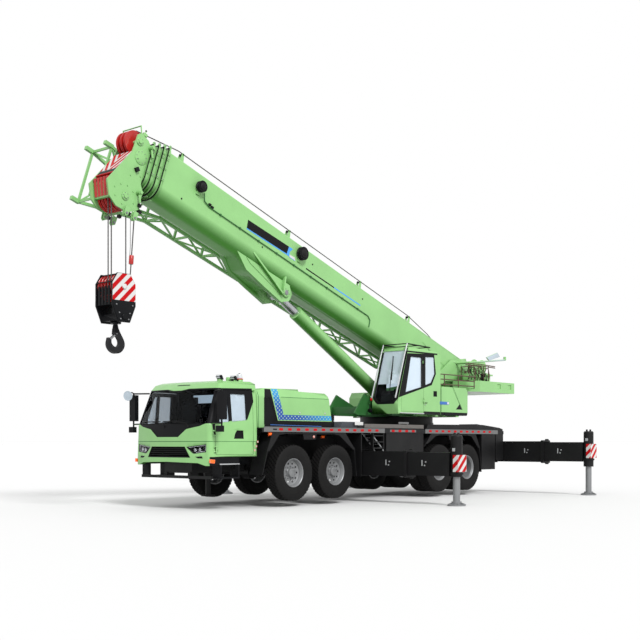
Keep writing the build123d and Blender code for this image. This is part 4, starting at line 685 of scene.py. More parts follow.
lamp_fronts = [HEADLIGHT, mirrored(HEADLIGHT), FOG_LAMP, mirrored(FOG_LAMP)]
dark_fronts = [WINDSCREEN_BLACK, VISOR_SLOT, GRILLE] + lamp_fronts
cab_regions = [(1, "x", 1, outline, FRONT) for outline in dark_fronts]
cab_regions += both_sides(1, SIDE_BLACK, 0.95, 1.26)
cab_regions += both_sides(1, HANDLE, 1.10, 1.26)
cab_regions += both_sides(1, rectangle(3.60, 4.955, 0.50, CAB_FLOOR), 0.90, 1.30)
cab_regions += both_sides(2, strip((3.70, CREASE), (4.97, CREASE), 0.010), 1.12, 1.40)
cab_regions += [(2, "x", 1, strip((-1.2, CREASE), (1.2, CREASE), 0.014), FRONT)]
in_cab = enclosed(CAB_NODES)


def cab_inside(face):
    middle = face.calc_center_median()
    within = 3.72 < middle.x < 4.94 and abs(middle.y) < 1.235 and CAB_FLOOR < middle.z < 2.665
    return within and face.normal.dot(CAB_MIDDLE - middle) > 0 or in_cab(face)


def cab_extras(face, middle, look):
    mirror = abs(middle.y) > 1.27 and middle.x > 4.70
    steps = middle.z < CAB_FLOOR - 0.003 and middle.x < 4.93 and abs(middle.y) > 0.60
    lamp_head = middle.z > 2.735 and middle.x > 3.95
    return 1 if mirror or steps or lamp_head else look


for cab_node in CAB_NODES:
    repaint(cab_node, [GREEN, DARK, DEEP_GREEN_AND_SHADE, TRIM], cab_regions, 3, cab_inside, cab_extras)

cab_glass = NODES["cab_glass"].data
for look in (LAMP_GLASS, REAR_PANE_PAINTED_LIGHT):
    cab_glass.materials.append(look)
# the rear panes take the glow of painted light, the low front panes lamp glass
for polygon in cab_glass.polygons:
    if polygon.center.x < 3.80:
        polygon.material_index = 2
    elif polygon.center.z < 1.40:
        polygon.material_index = 1
# a dark slatted sheet behind the lower half of the rear window: painted shade for the dark inside of the cab
painted_shade_sheet = Shape().prism(rectangle(-0.76, 0.76, 1.98, 2.27), "x", (3.748, 3.756), 0)
for k in range(12):
    z = 1.995 + k * 0.023
    painted_shade_sheet.prism(rectangle(-0.75, 0.75, z, z + 0.006), "x", (3.756, 3.760), 0)
painted_shade_sheet.make("rear_painted_shade_sheet", TRIM, "chassis")
DOOR_PANES = {
    "main": [(4.36, 1.838), (4.36, 2.41), (3.98, 2.41), (3.98, 1.870)],
    "quarter": [(4.44, 1.83), (4.69, 1.81), (4.69, 1.93), (4.56, 2.32), (4.51, 2.41), (4.44, 2.41)],
}
PANE_BACK, PANE_THICK = 0.022, 0.005


def leaning_pane(outline, sign, door):
    """A pane in a leaning side wall: each corner lies a set depth behind the wall's outer face."""
    middle = [sum(p[i] for p in outline) / len(outline) for i in (0, 1)]
    points = []
    for depth in (PANE_BACK, PANE_BACK + PANE_THICK):
        for x, z in outline:
            frame_x, frame_z = (at + (p - at) * 1.12 for at, p in zip(middle, (x, z)))
            points.append((x, side_y((door,), sign, frame_x, frame_z, 1.22) - depth, z))
    return Shape(sign).add(points, ring_faces(len(outline), 2))


for side, sign in SIDES:
    for pane, outline in DOOR_PANES.items():
        door = f"cab_door_{side}"
        leaning_pane(outline, sign, door).make(f"door_glass_{pane}_{side}", PAINTED_SKY_GLASS, door)


# ---------------- driver's cab: lamps, wipers, mirrors and steps
def on_front(y, z, proud=0.0):
    """A point that stands out from the cab's bowed front."""
    return Vector((face_at(("cab_shell", "cab_glass"), "x", 1, y, z, 5.0) + proud, y, z))


for side, sign in SIDES:
    lamps = Shape()
    for y, z, radius in ((0.785, 1.248, 0.036), (0.905, 1.258, 0.038)):
        spot = on_front(sign * y, z, -0.021)
        bowl = [(0, 0), (0, radius), (0.010, radius), (0.010, radius * 0.86),
                (0.004, radius * 0.6), (0.004, 0)]
        lamps.lathe(bowl, spot, AHEAD, 24, 1)
        lamps.ball(spot + Vector((0.006, 0, 0)), radius * 0.55, (0.4, 1, 1), 0)
    corner = (1.035, 1.347)
    bezel = (((0.615, 1.303), corner), (corner, (1.035, 1.232)), ((0.80, 1.196), (1.02, 1.222)))
    for ends in bezel:
        lamps.tube([on_front(sign * y, z, -0.016) for y, z in ends], 0.0075, 8, 0)
    lamps.tube([on_front(sign * y, 1.098, -0.016) for y in (0.84, 0.95)], 0.010, 8, 0)
    lamps.make(f"headlight_{side}", [LAMP, CHROME], "chassis")

wipers = Shape()
for pivot, tip in ((0.62, -0.12), (-0.10, -0.86)):
    foot = on_front(pivot, 1.735, 0.012)
    knee = on_front(pivot - 0.06, 1.80, 0.022) + Vector((0, 0, 0.005))
    end = on_front(tip, 1.86, 0.020)
    wipers.bar(foot - Vector((0.02, 0, 0)), foot + Vector((0.014, 0, 0)), 0.020, sides=16)
    wipers.tube([foot, knee, knee.lerp(end, 0.55)], 0.008, 8)
    blade = [on_front(y, 1.845, 0.014) for y in (pivot - 0.16, (pivot + tip) / 2 - 0.05, tip - 0.05)]
    wipers.tube(blade, 0.009, 8)
wipers.make("cab_wipers", TRIM, "chassis")

for side, sign in SIDES:
    glasses = Shape(sign)
    glasses.prism(rectangle(1.31, 1.47, 1.90, 2.41), "x", (4.7965, 4.8005))
    glasses.prism(rectangle(1.315, 1.435, 1.635, 1.730), "x", (4.8425, 4.8465))
    glasses.make(f"mirror_glass_{side}", MIRROR_PAINTED_REFLECTION, "chassis", bevel=0.0015)
round_mirror = Shape()
dish = [
    (-0.028, 0), (-0.024, 0.050), (-0.006, 0.104), (0.004, 0.108),
    (0.008, 0.104), (0.006, 0.098), (0.012, 0.05), (0.014, 0),
]
round_mirror.lathe(dish, (4.985, -1.43, 2.425), (0.9, 0.42, -0.1), 40, 0)
stalk = [(4.86, -1.39, 2.475), (4.90, -1.40, 2.50), (4.955, -1.42, 2.47), (4.965, -1.425, 2.43)]
round_mirror.tube(stalk, 0.013, 10, 1)
round_mirror.make("round_mirror", [MIRROR_PAINTED_REFLECTION, DARK], "chassis")

steps = Shape()
for side, sign in SIDES:
    steps.sign = sign
    y = side_y(("cab_shell",), sign, 4.40, 1.00, 1.20)
    for z in (0.955, 0.665):
        steps.plate(rectangle(4.14, 4.71, z - 0.012, z + 0.012), y - 0.16, 0.164)
        for k in range(9):
            x = 4.18 + k * 0.061
            steps.box((x, x + 0.03), (y - 0.15, y - 0.01), (z + 0.012, z + 0.017))
    lamp = [(4.985, 0.985), (4.860, 0.975), (4.850, 1.050), (4.985, 1.060)]
    steps.plate(lamp, y - 0.02, 0.032, 1)
steps.make("cab_steps", [PALE, AMBER], "chassis", bevel=0.002)

beacons = Shape()
beacons.button((3.85, 0.88, 2.742), UP, (0.018, 0.078), (0.022, 0.070), 32, 1)
dome = [(0.0, 0), (0.0, 0.064), (0.075, 0.060), (0.096, 0.048), (0.102, 0.018), (0.102, 0)]
beacons.lathe(dome, (3.85, 0.88, 2.764), UP, 32, 0)
beacons.lathe([(0, 0), (0, 0.022), (0.012, 0.018), (0.014, 0)], (3.85, 0.88, 2.864), UP, 20, 2)
beacons.lathe([(0, 0), (0, 0.060), (0.09, 0.060), (0.105, 0.050), (0.108, 0)], (4.03, 0.74, 2.684), UP, 32, 3)
beacons.make("roof_beacons", [LAMP, ROAD_RED, TRIM, GREEN], "chassis")
lenses = Shape()
for x in (4.44, 4.03):
    lenses.box((x + 0.058, x + 0.066), (0.852, 0.948), (2.748, 2.806), 0)
    lenses.box((x + 0.052, x + 0.060), (0.845, 0.955), (2.741, 2.813), 1)
lenses.make("roof_lamp_lenses", [LAMP, DARK], "chassis", bevel=0.003)


# ---------------- engine hood
def dotted(name, bend, reach, spacing):
    """Blue paint that is darkest at a bend point and lighter away from it, with rows of pale round dots."""
    look = Look(name)
    slopes = [look.along((math.pi / spacing[0], 0, way * math.pi / spacing[1])) for way in (1, -1)]
    waves = {i: look.node("Math", {0: slope}, 0, "SINE") for i, slope in enumerate(slopes)}
    size = look.node("Math", {0: look.node("Math", waves, 0, "MULTIPLY")}, 0, "ABSOLUTE")
    dots = look.ramp(size, 0.70, 0.86, grey(0), grey(1))
    offset = look.node("VectorMath", {0: look.place(), 1: bend}, "Vector", "SUBTRACT")
    scaled = look.node("VectorMath", {0: offset, 1: reach}, "Vector", "MULTIPLY")
    distance = look.node("VectorMath", {0: scaled}, "Value", "LENGTH")
    tone = look.ramp(distance, 0.35, 1.0, (0.003, 0.05, 0.27), (0.012, 0.26, 0.50))
    look.wire(look.shader, {"Base Color": look.mix(dots, tone, (0.34, 0.52, 0.34, 1))})
    look.surface(0.38, 0.06, 140, 0.05)
    return look.material


DOTS = dotted("blue_dots", (2.90, 0, 1.92), (0.58, 0, 1.5), (0.113, 0.086))
SLOT_OF[DOTS.name] = "paint_dark"
HOOD_BAND = [
    (3.143, 2.39), (3.120, 2.565), (2.925, 2.565), (2.946, 2.39),
    (2.805, 2.008), (1.150, 2.008), (1.150, 1.900), (2.968, 1.893),
]
HOOD_DARK = [
    (3.415, 1.60), (3.415, 2.39), (3.330, 2.560), (3.147, 2.560),
    (3.172, 2.39), (2.990, 1.878), (1.150, 1.878), (1.150, 1.60),
]
hood_regions = both_sides(4, HOOD_BAND, 0.9, 1.26)
for look, outline in (
    (1, HOOD_DARK), (5, strip((3.22, 1.787), (1.535, 1.767), 0.015)),
    (2, strip((2.90, 2.392), (1.30, 2.392), 0.012)), (2, strip((3.595, 1.70), (3.595, 2.50), 0.016)),
):
    hood_regions += both_sides(look, outline, 1.0, 1.26)
HOOD = ("engine_hood",)
repaint(HOOD[0], [GREEN, DARK, DEEP_GREEN_AND_SHADE, TRIM, DOTS, BLUE], hood_regions, 3, enclosed(HOOD))

posts = Shape()
for side, sign in SIDES:
    posts.sign = sign
    posts.box((1.05, 1.15), (1.06, 1.17), (1.755, 2.030))
    posts.box((1.03, 1.17), (1.05, 1.18), (2.018, 2.038))
    posts.bolt((1.10, 1.17, 1.90), 0.015, 0.022, 1, 16)
    for z in (2.02, 2.32):
        posts.box((3.636, 3.664), (1.05, 1.15), (z - 0.03, z + 0.03))
posts.make("hood_posts", [DARK, SILVER], "chassis", bevel=0.006)
for side, sign in SIDES:
    latch = Shape(sign)
    for x in (2.28, 1.42):
        y = side_y(HOOD, sign, 2.25, 2.00, 1.2)
        latch.button((x, y, 2.06), ACROSS, (0.006, 0.020), (0.010, 0.014), 20)
    latch.make(f"hood_latches_{side}", PALE, "chassis")


# ---------------- deck rails, markers, lamps, steps
DASH_HALF, DASH_TALL, DASH_CORNER = 0.061, 0.026, 0.012
DECK = ("deck", "fenders", "side_boxes", "chassis_frame")


def dashes(shape, first, pitch, count, z, y):
    """A row of marker strips with cut corners."""
    cut_x, cut_z = DASH_HALF - DASH_CORNER, DASH_TALL - DASH_CORNER
    corners = [(-cut_x, -DASH_TALL), (cut_x, -DASH_TALL), (DASH_HALF, -cut_z), (DASH_HALF, cut_z)]
    corners += [(-dx, -dz) for dx, dz in corners]
    for k in range(count):
        outline = [(first - pitch * k + dx, z + dz) for dx, dz in corners]
        shape.plate(outline, y, 0.004, 1)


for side, sign in SIDES:
    y = side_y(DECK, sign, 2.0, 1.70, 1.40)
    rails = Shape(sign)
    for front, back in ((3.64, -0.565), (-2.262, -5.745 if sign > 0 else -5.40)):
        for low, high, proud in ((1.634, 1.738, 0.005), (1.731, 1.741, 0.010), (1.631, 1.638, 0.010)):
            rails.plate(rectangle(back, front, low, high), y, proud)
        x = front - 0.10
        while x > back:
            rails.bolt((x, y + 0.004, 1.655), 0.004, 0.006, 0, 10)
            x -= 0.28
    rails.plate(rectangle(3.24, 3.36, 1.672, 1.700), y, 0.008, 2)
    dashes(rails, 3.11, 0.2805, 13, 1.687, y + 0.004)
    dashes(rails, -2.482, 0.284, 11 if sign > 0 else 10, 1.690, y + 0.004)
    box_y = side_y(("side_boxes", "deck"), sign, -1.30, 1.66, 1.40)
    rails.plate(rectangle(-1.86, -0.78, 1.655, 1.712), box_y, 0.003)
    dashes(rails, -0.905, 0.278, 4, 1.684, box_y + 0.002)
    rails.make(f"deck_rail_{side}", [ALLOY, ROAD_RED, DARK], "chassis")

    kick_y = y - 0.035
    kick = Shape(sign).plate(rectangle(-2.24, 0.17, 1.722, 1.848), kick_y, -0.005)
    kick.plate(rectangle(-2.24, 0.17, 1.842, 1.848), kick_y - 0.05, 0.05)
    for row in range(6):
        z = 1.738 + 0.017 * row
        lean = 0.006 if row % 2 else -0.006
        for k in range(60 if row % 2 == 0 else 59):
            x = 0.15 - 0.02 * (row % 2) - 0.04 * k
            kick.plate(strip((x - 0.010, z - lean), (x + 0.010, z + lean), 0.005), kick_y, 0.003)
    for left, right, low, high in ((-1.60, -1.18, 1.862, 1.905), (-1.57, -1.53, 1.845, 1.865),
                                   (-1.25, -1.21, 1.845, 1.865)):
        kick.plate(rectangle(left, right, low, high), kick_y, -0.006, 1)
    kick.make(f"deck_kick_plate_{side}", [TREAD, ALLOY], "chassis")

    wedge = Shape(sign)
    wedge.plate([(1.02, 1.722), (0.42, 1.722), (0.22, 1.885), (0.90, 1.885)], 0.62, 0.68)
    wedge.plate([(-4.80, 1.90), (-5.62, 1.815), (-5.66, 1.722), (-4.80, 1.722)], 0.75, 0.58)
    wedge.plate(rectangle(0.20, 0.52, 1.806, 1.885), 1.345, 0.007, 1)
    wedge.make(f"deck_wedges_{side}", [GREY, WHITE], "chassis", bevel=0.006)

    lamps = Shape(sign)
    for x, z in ((3.41, 1.585), (0.605, 1.540), (-2.30, 1.546), (-4.813, 1.541)):
        y = side_y(DECK, sign, x, z, 1.36)
        lamps.plate(rectangle(x - 0.062, x + 0.062, z - 0.038, z + 0.038), y, 0.012, 1)
        lamps.plate(rectangle(x - 0.048, x + 0.048, z - 0.024, z + 0.024), y + 0.010, 0.016, 0)
    for x in (2.02, -3.78):
        spot = (x, side_y(DECK, sign, x, 1.53, 1.38), 1.53)
        lamps.button(spot, ACROSS, (0.012, 0.030), (0.018, 0.020), 20, 2)
    for x, z in ((3.819, 1.418), (3.861, 1.324), (3.902, 1.243)):
        y = side_y(("fenders",), sign, x, z, 1.39)
        lamps.plate(rectangle(x - 0.020, x + 0.020, z - 0.020, z + 0.020), y, 0.008, 2)
    lamps.make(f"side_lamps_{side}", [AMBER, DARK, PALE], "chassis", bevel=0.003)

ladder = Shape()
for y in (1.31, 1.05):
    ladder.tube([(-0.13, y, 1.63), (-0.60, y, 1.24), (-0.70, y, 1.02)], 0.017, 10)
for k in range(5):
    t = (k + 0.5) / 5
    ladder.bolt((-0.13 - 0.47 * t, 1.05, 1.63 - 0.39 * t), 0.26, 0.012, sides=10)
ladder.make("side_ladder", PALE, "chassis")

rear = Shape()
for side, sign in SIDES:
    rear.sign = sign
    rear.box((-6.175, -6.150), (0.40, 0.92), (0.66, 0.90))
    rear.box((-6.150, -6.02), (0.80, 0.86), (0.72, 0.925))
    for k, look in enumerate((1, 1, 2, 3)):
        y = 0.470 + 0.125 * k
        rear.button((-6.175, y, 0.78), (-1, 0, 0), (0.012, 0.048), (0.020, 0.036), 24, look)
        rear.box((-6.150, -6.147), (y - 0.015, y + 0.015), (0.84, 0.87), 3)
rear.make("tail_lamps", [DARK, ROAD_RED, AMBER, LAMP], "chassis", bevel=0.003)


# ---------------- operator's cab and turntable
OP_SIDE = [(-1.52, 3.622), (-2.715, 3.665), (-2.795, 3.164), (-2.605, 2.868), (-1.03, 2.470), (-1.00, 2.60)]
OP_ROOF_LINE = strip((-1.50, 3.668), (-2.86, 3.672), 0.040)
OP_FRONT = [(0.57, 3.67), (1.35, 3.67), (1.35, 2.49), (1.235, 2.352), (0.715, 2.352), (0.57, 2.49)]
LOUVRES = rectangle(-2.842, -2.680, 2.578, 2.722)
FOOT_STRIP = rectangle(-4.32, -2.245, 2.04, 2.190)
TRIANGLE = [(-3.913, 2.430), (-3.716, 2.272), (-4.030, 2.272)]
OP_MIDDLE = Vector((-2.0, 0.96, 2.95))
OP_NODES = ("op_cab_shell", "op_cab_door")
in_op_cab = enclosed(OP_NODES)


def op_inside(face):
    middle = face.calc_center_median()
    within = -2.80 < middle.x < -1.0 and 0.58 < middle.y < 1.34 and 2.14 < middle.z < 3.77
    return within and face.normal.dot(OP_MIDDLE - middle) > 0 or in_op_cab(face)


def op_extras(face, middle, look):
    guard = min(abs(middle.y - 0.59), abs(middle.y - 1.33)) < 0.03
    ahead = middle.x - (-1.15 - 0.41 * (middle.z - 2.50) / 1.14)
    if guard and 2.44 < middle.z < 3.90 and ahead > 0.022:
        return 4
    if middle.z > 3.795:
        return 1
    if middle.y > 1.362 and 2.10 < middle.z < 2.16 and middle.x > -2.24:
        return 4
    return look


op_regions = [(1, "y", 1, outline, (1.30, 1.40)) for outline in (OP_SIDE, OP_ROOF_LINE)]
op_regions += [(1, "y", -1, OP_SIDE, (0.50, 0.62)), (1, "x", 1, OP_FRONT, (-1.75, -1.00))]
op_regions += [(1, "y", 1, outline, (1.30, 1.40)) for outline in (LOUVRES, FOOT_STRIP)]
for op_node in OP_NODES:
    repaint(op_node, [GREEN, DARK, DEEP_GREEN_AND_SHADE, TRIM, PALE], op_regions, 3, op_inside, op_extras)
housing_regions = both_sides(1, FOOT_STRIP, 1.30, 1.40) + [(1, "y", 1, TRIANGLE, (1.30, 1.40))]
repaint("side_housings", [GREEN, DARK, DEEP_GREEN_AND_SHADE, TRIM], housing_regions)

op_pane = Shape().plate([(-2.17, 2.806), (-1.48, 2.650), (-1.70, 3.545), (-2.17, 3.545)], 1.335, 0.006)
op_pane.make("op_door_glass", OP_PAINTED_SKY_PANE, "op_cab_door")
screen = (1, "x", 1, rectangle(0.5, 1.4, 2.86, 3.8), (-1.8, -0.9))
rear_pane = (1, "y", 1, rectangle(-3.0, -2.0, 2.6, 3.7), (1.2, 1.4))
repaint("op_cab_glass", [GLASS, OP_PAINTED_SKY_PANE], [screen, rear_pane])

op_parts = Shape().plate(strip((-2.17, 3.56), (-2.17, 2.80), 0.05), 1.362, 0.004)
wiper_foot, wiper_tip = Vector((-1.135, 1.12, 2.62)), Vector((-1.40, 1.02, 3.42))
op_parts.tube([wiper_foot, wiper_foot.lerp(wiper_tip, 0.5) + Vector((0.02, 0, 0)), wiper_tip], 0.010, 8, 0)
op_parts.tube([(-1.25, 1.09, 2.95), (-1.46, 0.99, 3.56)], 0.013, 8, 0)
op_parts.ball((-1.06, 0.60, 2.475), 0.034, (0.8, 1, 1.2), 1)
op_parts.bar((-1.03, 0.58, 2.22), (-1.03, 0.58, 2.36), 0.012)
horn = [(-0.05, 0), (-0.05, 0.030), (-0.01, 0.055), (0.02, 0.058), (0.024, 0.050), (0.024, 0)]
op_parts.lathe(horn, (-1.02, 0.60, 2.20), (0.8, 0.3, -0.4), 24, 0)
op_parts.box((-2.40, -2.30), (1.361, 1.375), (2.40, 2.415), 0)
op_parts.bolt((-2.30, 1.36, 2.36), 0.032, 0.010, 2, 20)
op_parts.make("op_cab_fittings", [TRIM, ROAD_RED, PALE], "superstructure")

sign_plate = Shape().plate(rectangle(-3.390, -2.972, 2.386, 2.462), 1.361, 0.005, 0)
sign_plate.plate(rectangle(-3.380, -3.300, 2.394, 2.454), 1.3655, 0.002, 1)
sign_plate.make("blank_sign", [BLUE, WHITE], "superstructure", bevel=0.002)
housing_trim = Shape()
for start, end in (((-3.035, 2.21), (-3.035, 2.79)), ((-3.60, 2.845), (-4.00, 2.275))):
    housing_trim.plate(strip(start, end, 0.010), 1.3605, 0.0017, 0)
housing_trim.plate(rectangle(-3.40, -3.20, 2.10, 2.175), 1.3602, 0.0038, 1)
housing_trim.make("housing_seams", [DEEP_GREEN_AND_SHADE, DARK], "superstructure")


def turntable_extras(face, middle, look):
    if abs(middle.y - 1.21) < 0.035 and 2.86 < middle.z < 3.24 and middle.x < -3.1:
        return 1
    # the rear mirror panel's faces: the mirror colour, a painted reflection
    if middle.x < -5.90 and middle.z > 3.70 and 0.87 < middle.y < 0.925 and abs(face.normal.y) > 0.7:
        return 2
    # the front plates by the operator's cab: deep green as painted shade
    if middle.x > -2.12 and 2.07 < middle.z < 2.95:
        return 3
    return look


repaint("turntable", [GREEN, RUST, MIRROR_PAINTED_REFLECTION, DEEP_GREEN_AND_SHADE], [], also=turntable_extras)

# rigid pipes and valves of the winch gear behind the boom's foot
gear = Shape()
for k, (x, z) in enumerate(((-5.10, 3.50), (-5.18, 3.44), (-5.26, 3.52), (-5.34, 3.40), (-5.42, 3.47))):
    y = 0.62 + 0.065 * k
    gear.tube([(x, y, 3.12), (x, y, z), (x - 0.25, y, z + 0.03), (x - 0.62, y + 0.03, z + 0.02),
               (x - 0.68, y + 0.03, z - 0.16), (x - 0.66, y, 3.14)], 0.013, 10, k % 2)
for x in (-5.20, -5.46, -5.72):
    gear.box((x - 0.06, x + 0.06), (0.64, 0.82), (3.14, 3.32), 1)
    for step in (-0.04, 0.0, 0.04):
        gear.bar((x + step, 0.70, 3.30), (x + step, 0.70, 3.40), 0.011, look=3)
        gear.bolt((x + step, 0.82, 3.22), 0.04, 0.012, 3, 20)
for x, z in ((-5.86, 3.22), (-5.98, 3.30), (-6.06, 3.16)):
    valve = [(-0.06, 0), (-0.06, 0.055), (0.05, 0.055), (0.07, 0.035), (0.07, 0)]
    gear.lathe(valve, (x, 0.78, z), ACROSS, 24, 2)
for z in (3.54, 3.58):
    gear.tube([(-4.90, 0.90, z), (-5.60, 0.92, z + 0.01), (-6.35, 0.94, z - 0.02)], 0.014, 10, 0)
for x in (-5.05, -5.30, -5.55, -5.80, -6.05):
    gear.tube([(x, 0.91, 3.56), (x + 0.02, 0.92, 3.36), (x - 0.03, 0.90, 3.14)], 0.011, 8, 0)
for k in range(7):
    x = -5.08 - 0.15 * k
    bent = [(x, 0.86, 3.14), (x - 0.05, 0.88, 3.26), (x + 0.06, 0.87, 3.37), (x - 0.02, 0.88, 3.50)]
    gear.tube(bent, 0.009, 8, 2)
gear.make("winch_pipes", [RUST, GREEN, TRIM, COPPER], "superstructure")


# ---------------- boom
BOOM_ANGLE = math.radians(18.5)
BOOM_PIVOT = Vector((-5.355, 0, 3.555))
ON_BOOM = Matrix.Translation(BOOM_PIVOT) @ Matrix.Rotation(-BOOM_ANGLE, 4, "Y")
FROM_BOOM = ON_BOOM.inverted()
SIDE_Y = 0.40
SKIN = 0.001
REELS = ((10.435, -0.083, 0.120), (7.095, 0.0, 0.155))


def boom_extras(face, middle, look):
    local = FROM_BOOM @ middle
    on_reel = any(math.hypot(local.x - x, local.z - z) < radius + 0.004 for x, z, radius in REELS)
    if local.y > 0.436 and on_reel:
        return 1
    if local.z > 0.262 and 3.0 < local.x < 11.2 and abs(local.y) < 0.062:
        return 2
    return look


repaint("boom_base", [GREEN, DARK, SILVER], [], also=boom_extras)


def section_loop(node, along):
    """The outer outline of a boom section across its length, as (y, perp) points in order."""
    bm = bmesh.new()
    bm.from_mesh(NODES[node].data)
    bm.transform(FROM_BOOM)
    bmesh.ops.remove_doubles(bm, verts=bm.verts, dist=1e-6)
    every = bm.verts[:] + bm.edges[:] + bm.faces[:]
    result = bmesh.ops.bisect_plane(bm, geom=every, plane_co=(along, 0, 0), plane_no=AHEAD)
    edges = [e for e in result["geom_cut"] if isinstance(e, bmesh.types.BMEdge)]
    best, seen = [], set()
    for first in edges:
        loop, here, edge = [], first.verts[0], first
        while edge and edge not in seen:
            seen.add(edge)
            loop.append((here.co.y, here.co.z))
            here = edge.other_vert(here)
            edge = next((e for e in here.link_edges if e in edges and e not in seen), None)
        if loop and max(p[0] for p in loop) > max([p[0] for p in best], default=0):
            best = loop
    bm.free()
    return best


def belt(shape, loop, start, end, low, high, look=0):
    """A band round a section from start to end along the boom, low to high over its faces."""
    middle = (max(p[1] for p in loop) + min(p[1] for p in loop)) / 2
    points = []
    for along, proud in ((start, low), (start, high), (end, high), (end, low)):
        for y, z in loop:
            reach = math.copysign(proud, y) if abs(y) > 0.05 else 0.0
            points.append((along, y + reach, z + math.copysign(proud, z - middle)))
    return shape.add(points, ring_faces(len(loop), 4, closed=True), look)


COLLAR_PITCH, COLLAR_THICK, BASE_END = 0.112, 0.074, 11.33
for index, node in enumerate(("boom_base", "boom_section_2", "boom_section_3", "boom_section_4")):
    end = BASE_END + COLLAR_PITCH * (index + 1)
    middle = end - COLLAR_THICK / 2
    loop = section_loop(node, middle)
    half = max(p[0] for p in loop)
    top, bottom = max(p[1] for p in loop), min(p[1] for p in loop)
    collar = Shape()
    belt(collar, loop, end - 0.001, end + 0.011, -0.028, -0.004, 1)
    belt(collar, loop, end - COLLAR_THICK * 0.62, end - COLLAR_THICK * 0.40, -0.004, 0.005, 0)
    for side, sign in SIDES:
        collar.sign = sign
        # wear-pad covers with their bolts
        for row, perp in enumerate((-0.66 + 0.02 * index, -0.44, -0.20, 0.02, 0.12 - 0.02 * index)):
            tall = 0.031 if row % 2 else 0.024
            outline = [(middle - 0.030, perp - tall), (middle + 0.030, perp - tall),
                       (middle + 0.030, perp + tall - 0.012), (middle + 0.016, perp + tall),
                       (middle - 0.030, perp + tall)]
            face_y = half + min(0.0, perp + 0.44) * 0.16
            collar.plate(outline, face_y - 0.02, 0.036)
            for shift in (-0.016, 0.016):
                collar.bolt((middle + shift, face_y + 0.014, perp), 0.012, 0.009, 2 if row % 2 else 0)
        lug = [(end - 0.066, top - 0.06), (end - 0.006, top - 0.06), (end - 0.006, top + 0.075),
               (end - 0.020, top + 0.100), (end - 0.050, top + 0.100), (end - 0.066, top + 0.075)]
        collar.plate(lug, half - 0.045, 0.033)
        collar.bolt((end - 0.036, half - 0.055, top + 0.070), 0.053, 0.013, 2, 12)
    for y in (-0.18, 0.0, 0.18):
        collar.box((end - 0.064, end - 0.010), (y - 0.045, y + 0.045), (top - 0.004, top + 0.016), 0)
        for shift in (-0.026, 0.026):
            spot = (end - 0.037, y + shift)
            collar.bar((*spot, top + 0.014), (*spot, top + 0.026), 0.008, sides=6, look=2)
        collar.box((end - 0.064, end - 0.010), (y - 0.040, y + 0.040), (bottom - 0.014, bottom + 0.004), 0)
    collar.make(f"collar_{index + 1}", [GREEN, DARK, SILVER], BODY_OF[node], place=ON_BOOM)

fittings = Shape()
# cable pipe along the left side, its clips, and its bend down to the cylinder
pipe = [(10.30, 0.05, -0.16), (10.22, 0.026, -0.30), (10.05, 0.018, -0.352),
        (4.30, 0.018, -0.352), (4.19, 0.018, -0.42), (4.17, 0.012, -0.60)]
fittings.tube([(along, SIDE_Y + proud, perp) for along, proud, perp in pipe], 0.012, 10, 0)
for k in range(9):
    along = 9.7 - 0.62 * k
    fittings.box((along - 0.02, along + 0.02), (SIDE_Y - 0.002, SIDE_Y + 0.032), (-0.372, -0.332), 0)
# small covers, sensors and bolts
for along, perp in ((10.06, -0.300), (9.98, -0.322)):
    fittings.box((along - 0.028, along + 0.028), (SIDE_Y, SIDE_Y + 0.05), (perp - 0.02, perp + 0.02), 1)
for along, perp in ((6.62, -0.04), (4.62, -0.03), (10.80, -0.55), (8.30, -0.42)):
    fittings.button((along, SIDE_Y, perp), ACROSS, (0.010, 0.018), (0.014, 0.010), 16, 1)
for along, perp, radius in REELS:
    centre = (along, SIDE_Y + 0.13, perp)
    reel = [(0, 0), (0, radius * 0.70), (0.012, radius * 0.66),
            (0.026, radius * 0.34), (0.034, radius * 0.30), (0.036, 0)]
    fittings.lathe(reel, centre, ACROSS, 40, 1)
    fittings.bolt_ring(centre, radius * 0.86, 8, 0.010, radius * 0.055, 1, sides=8)
    foot = perp - radius - 0.06
    stay = [(along - 0.05, foot), (along + 0.05, foot), (along + 0.035, perp), (along - 0.035, perp)]
    fittings.plate(stay, SIDE_Y - SKIN, 0.031, 2)
fittings.make("boom_side_fittings", [DEEP_GREEN_AND_SHADE, TRIM, GREEN], "boom", place=ON_BOOM)

# blank name plate with its blue tail, and the long stripe behind it
NAME_PLATE = [(7.52, -0.202), (8.88, -0.240), (8.90, -0.048), (7.50, -0.010)]
plates = Shape()
for look, outline in (
    (0, NAME_PLATE), (1, [(7.52, -0.226), (8.88, -0.264), (8.88, -0.240), (7.52, -0.202)]),
    (1, [(7.42, -0.226), (7.52, -0.226), (7.50, -0.010), (7.36, -0.004), (7.44, -0.120)]),
    (2, [(7.20, -0.226), (7.41, -0.226), (7.43, -0.175), (7.24, -0.160)]),
    (1, [(7.20, -0.238), (7.42, -0.240), (7.42, -0.226), (7.20, -0.226)]),
):
    plates.plate(outline, SIDE_Y - SKIN, 0.004, look)
for k in range(8):
    start, rise = 6.80 - k * 0.269, 0.0016 * k
    stripe = rectangle(start - 0.269, start, -0.247 + rise, -0.216 + rise)
    plates.plate(stripe, SIDE_Y - SKIN, 0.003, 0 if k < 4 else 1)
plates.make("boom_plates", [DARK, SKY_BLUE, WHITE], "boom", place=ON_BOOM)
Shape().plate(NAME_PLATE, -SIDE_Y - 0.003, 0.004).make("boom_plate_right", DARK, "boom", place=ON_BOOM)

